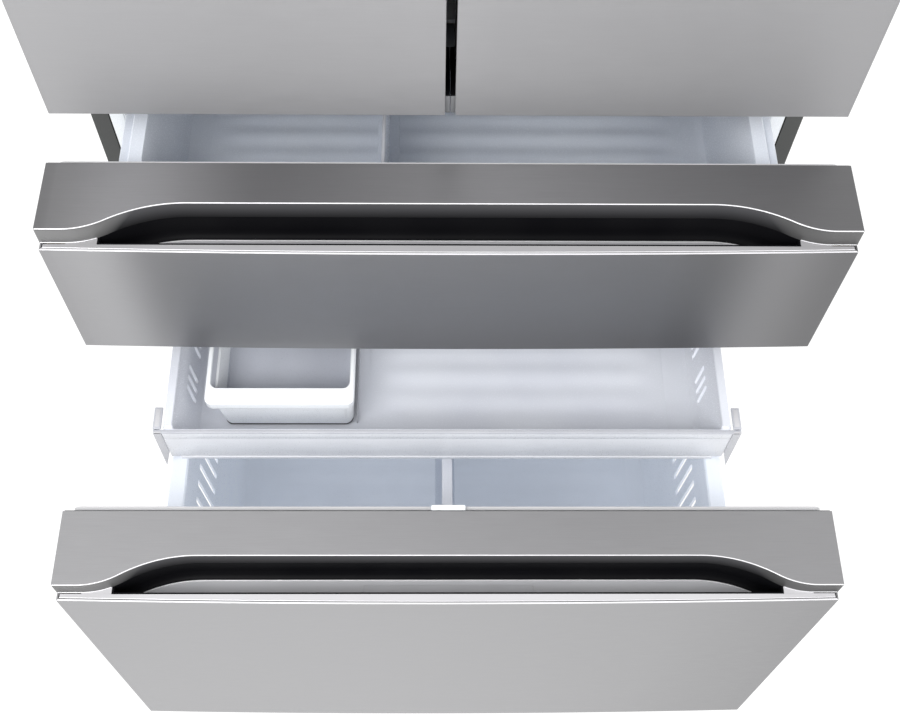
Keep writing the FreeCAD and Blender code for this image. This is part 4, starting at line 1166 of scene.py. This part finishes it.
def hinge_covers():
    """A rounded cap over each upper hinge."""
    parts = []
    low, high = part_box("hinge_covers")
    for side in (-1, 1):
        x = sorted((side * (HALF - 0.102), side * HALF))
        rings = []
        for inset, height in ((0, low.z), (0, low.z + 0.02), (0.002, high.z - 0.008),
                (0.007, high.z - 0.002), (0.014, high.z)):
            outline = rounded(x[0] + inset, x[1] - inset, low.y + inset, high.y - inset, 0.018)
            rings.append(flat(outline, height))
        parts.append(loft("cover", rings))
    place(joined("hinge_cover_caps", parts), "cabinet", DARK_PLASTIC, ["hinge_covers"])


def wrapper():
    """Painted shell: sides, top and the front flange, with softened folds."""
    sheet = 0.001
    outline = rounded(-HALF, HALF, CASE_BASE, CASE_TOP, 0.004, 4)
    inside = rounded(-HALF + sheet, HALF - sheet, CASE_BASE, CASE_TOP - sheet, 0.003, 4)
    opening = rounded(-HALF + FLANGE, HALF - FLANGE, CASE_BASE + FLANGE, CASE_TOP - FLANGE, 0.002, 4)
    back = CASE_BACK - 0.002
    rings = [
        upright(outline, back),
        upright(outline, CASE_FRONT + 0.001),
        upright([(x * 0.999, z) for x, z in outline], CASE_FRONT),
        upright(opening, CASE_FRONT),
        upright(opening, CASE_FRONT + sheet),
        upright(inside, CASE_FRONT + sheet),
        upright(inside, back),
    ]
    place(loft("cabinet_shell", rings, closed_loop=True), "cabinet", CASE_PAINT,
            ["cabinet_wrapper"])


def rear_seams():
    """Folded edges in the slits beside the machine-compartment cover."""
    low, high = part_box("machine_cover")
    folds = []
    for side in (-1, 1):
        folds.append(block("fold", (side * (high.x + 0.0002), CASE_BACK - 0.0065, low.z),
                (side * (HALF - 0.0011), CASE_BACK - 0.0022, high.z), 0.0003, 2))
    place(joined("cabinet_rear_folds", folds), "cabinet", ZINC)


def liners():
    """Vacuum-formed liners with rounded corners, open in front."""
    lip_low = CASE_BASE + FLANGE + 0.0014
    lip_high = CASE_TOP - FLANGE - 0.0014
    # floor, ceiling and depth of each compartment, then the lower and upper edge of its lip
    compartments = [
        (0.921, 1.704, 0.730, 0.918, lip_high),
        (0.661, 0.836, 0.540, 0.658, 0.839),
        (0.079, 0.586, 0.540, lip_low, 0.589),
    ]
    parts = []
    for low, high, depth, lip_bottom, lip_top in compartments:

        def ring(grow, back, radius):
            """The compartment's outline, grown a little, at a depth behind the case's front."""
            outline = rounded(-CAVITY_HALF - grow, CAVITY_HALF + grow, low - grow, high + grow, radius)
            return upright(outline, CASE_FRONT + back)

        def lip(inset, back):
            """The outline of the lip that covers the foam, moved in by inset."""
            half = HALF - FLANGE - 0.0014 - inset
            outline = rounded(-half, half, lip_bottom + inset, lip_top - inset, 0.003)
            return upright(outline, CASE_FRONT + back)

        parts.append(loft("liner", [
            ring(0.002, depth + 0.001, 0.02),
            ring(0.002, 0.0018, 0.012),
            lip(0.0, 0.0018),
            lip(0.0, 0.0009),
            lip(0.0006, 0.0004),
            ring(0.003, 0.0004, 0.012),
            ring(0.0012, 0.0008, 0.012),
            ring(0.0, 0.0022, 0.012),
            ring(-0.001, 0.002, 0.012),
            ring(-0.001, depth - 0.012, 0.02),
            ring(-0.012, depth - 0.001, 0.012),
        ]))
    place(joined("cabinet_liner_tubs", parts), "cabinet", LINER_WHITE, ["cabinet_liners"])


def shelves():
    """Glass panes in moulded frames with a front trim."""
    low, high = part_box("glass_shelves")
    frames, panes = [], []
    frame_low, frame_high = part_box("shelf_frames")
    for level in range(3):
        z = low.z + SHELF_PITCH * level
        profile = [(0, 0), (0.018, 0), (0.018, 0.01), (0.001, 0.01), (0, 0.009)]
        rings = []
        for inset, up in profile:
            outline = rounded(frame_low.x + inset, frame_high.x - inset, frame_low.y + inset,
                    frame_high.y - inset, 0.006, 4)
            rings.append(flat(outline, frame_low.z + SHELF_PITCH * level + up))
        frames.append(loft("frame", rings, closed_loop=True))
        panes.append(block("pane", (low.x - 0.004, low.y - 0.001, z),
                (high.x + 0.004, high.y + 0.001, z + 0.004), 0.0006, 2))
    place(joined("shelf_surrounds", frames), "cabinet", WHITE, ["shelf_frames"])
    place(joined("shelf_panes", panes), "cabinet", GLASS, ["glass_shelves"])


def crispers():
    """Two clear tubs behind the doors."""
    for name in ("crisper_left", "crisper_right"):
        low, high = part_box(name)
        item = simple_tub(name + "_tub", (low.x, high.x), (low.y, high.y), (low.z, high.z), wall=0.003,
                taper=0.012, radius=0.018, rim=0.004, rim_drop=0.012)
        place(item, name, CLEAR, [name])


def flange_seal_and_shade():
    """Black strip in the seam between the painted flange and the white liners, a seal whose black is painted
    shade for the gap's shadow.
    """
    profile = [(0, 0.0), (0.0012, 0.0), (0.0012, 0.0014), (0, 0.0014)]
    rings = []
    for inset, back in profile:
        half = HALF - FLANGE - inset
        outline = rounded(-half, half, CASE_BASE + FLANGE + inset, CASE_TOP - FLANGE - inset, 0.002, 4)
        rings.append(upright(outline, CASE_FRONT + 0.0005 + back))
    place(loft("cabinet_flange_seal_and_shade", rings, closed_loop=True), "cabinet", GRIP_BLACK)


hinge_covers()
flange_seal_and_shade()
wrapper()
rear_seams()
liners()
shelves()
crispers()

# ------------------------------------------------------------------ CAD nodes that stay, dressed

DRESS = {
    CASE_PAINT: ["mullion_rails"],
    ZINC: ["rear_panel", "base_pan", "machine_cover"],
    DARK_PLASTIC: ["toe_grille", "water_valve", "condenser_fan", "mullion_flap"],
    ENAMEL: ["compressor"],
    COIL_METAL: ["refrigerant_coils"],
    LINER_WHITE: ["evaporator_cover"],
    WHITE: ["evaporator_fan"],
    LEG_STEEL: ["levelling_leg_left", "levelling_leg_right", "door_hinges"],
    NYLON: ["rear_roller_left", "rear_roller_right"],
    SLIDE_STEEL: ["cabinet_rails", "middle_drawer_slides", "middle_slide_intermediates",
            "freezer_drawer_slides", "freezer_slide_intermediates"],
    GRIP_BLACK: ["left_door_grip", "right_door_grip"],
    FOAM: ["cabinet_foam", "left_door_core", "right_door_core"],
}
for material, names in DRESS.items():
    for node_name in names:
        NODES[node_name].data.materials.clear()
        NODES[node_name].data.materials.append(material)
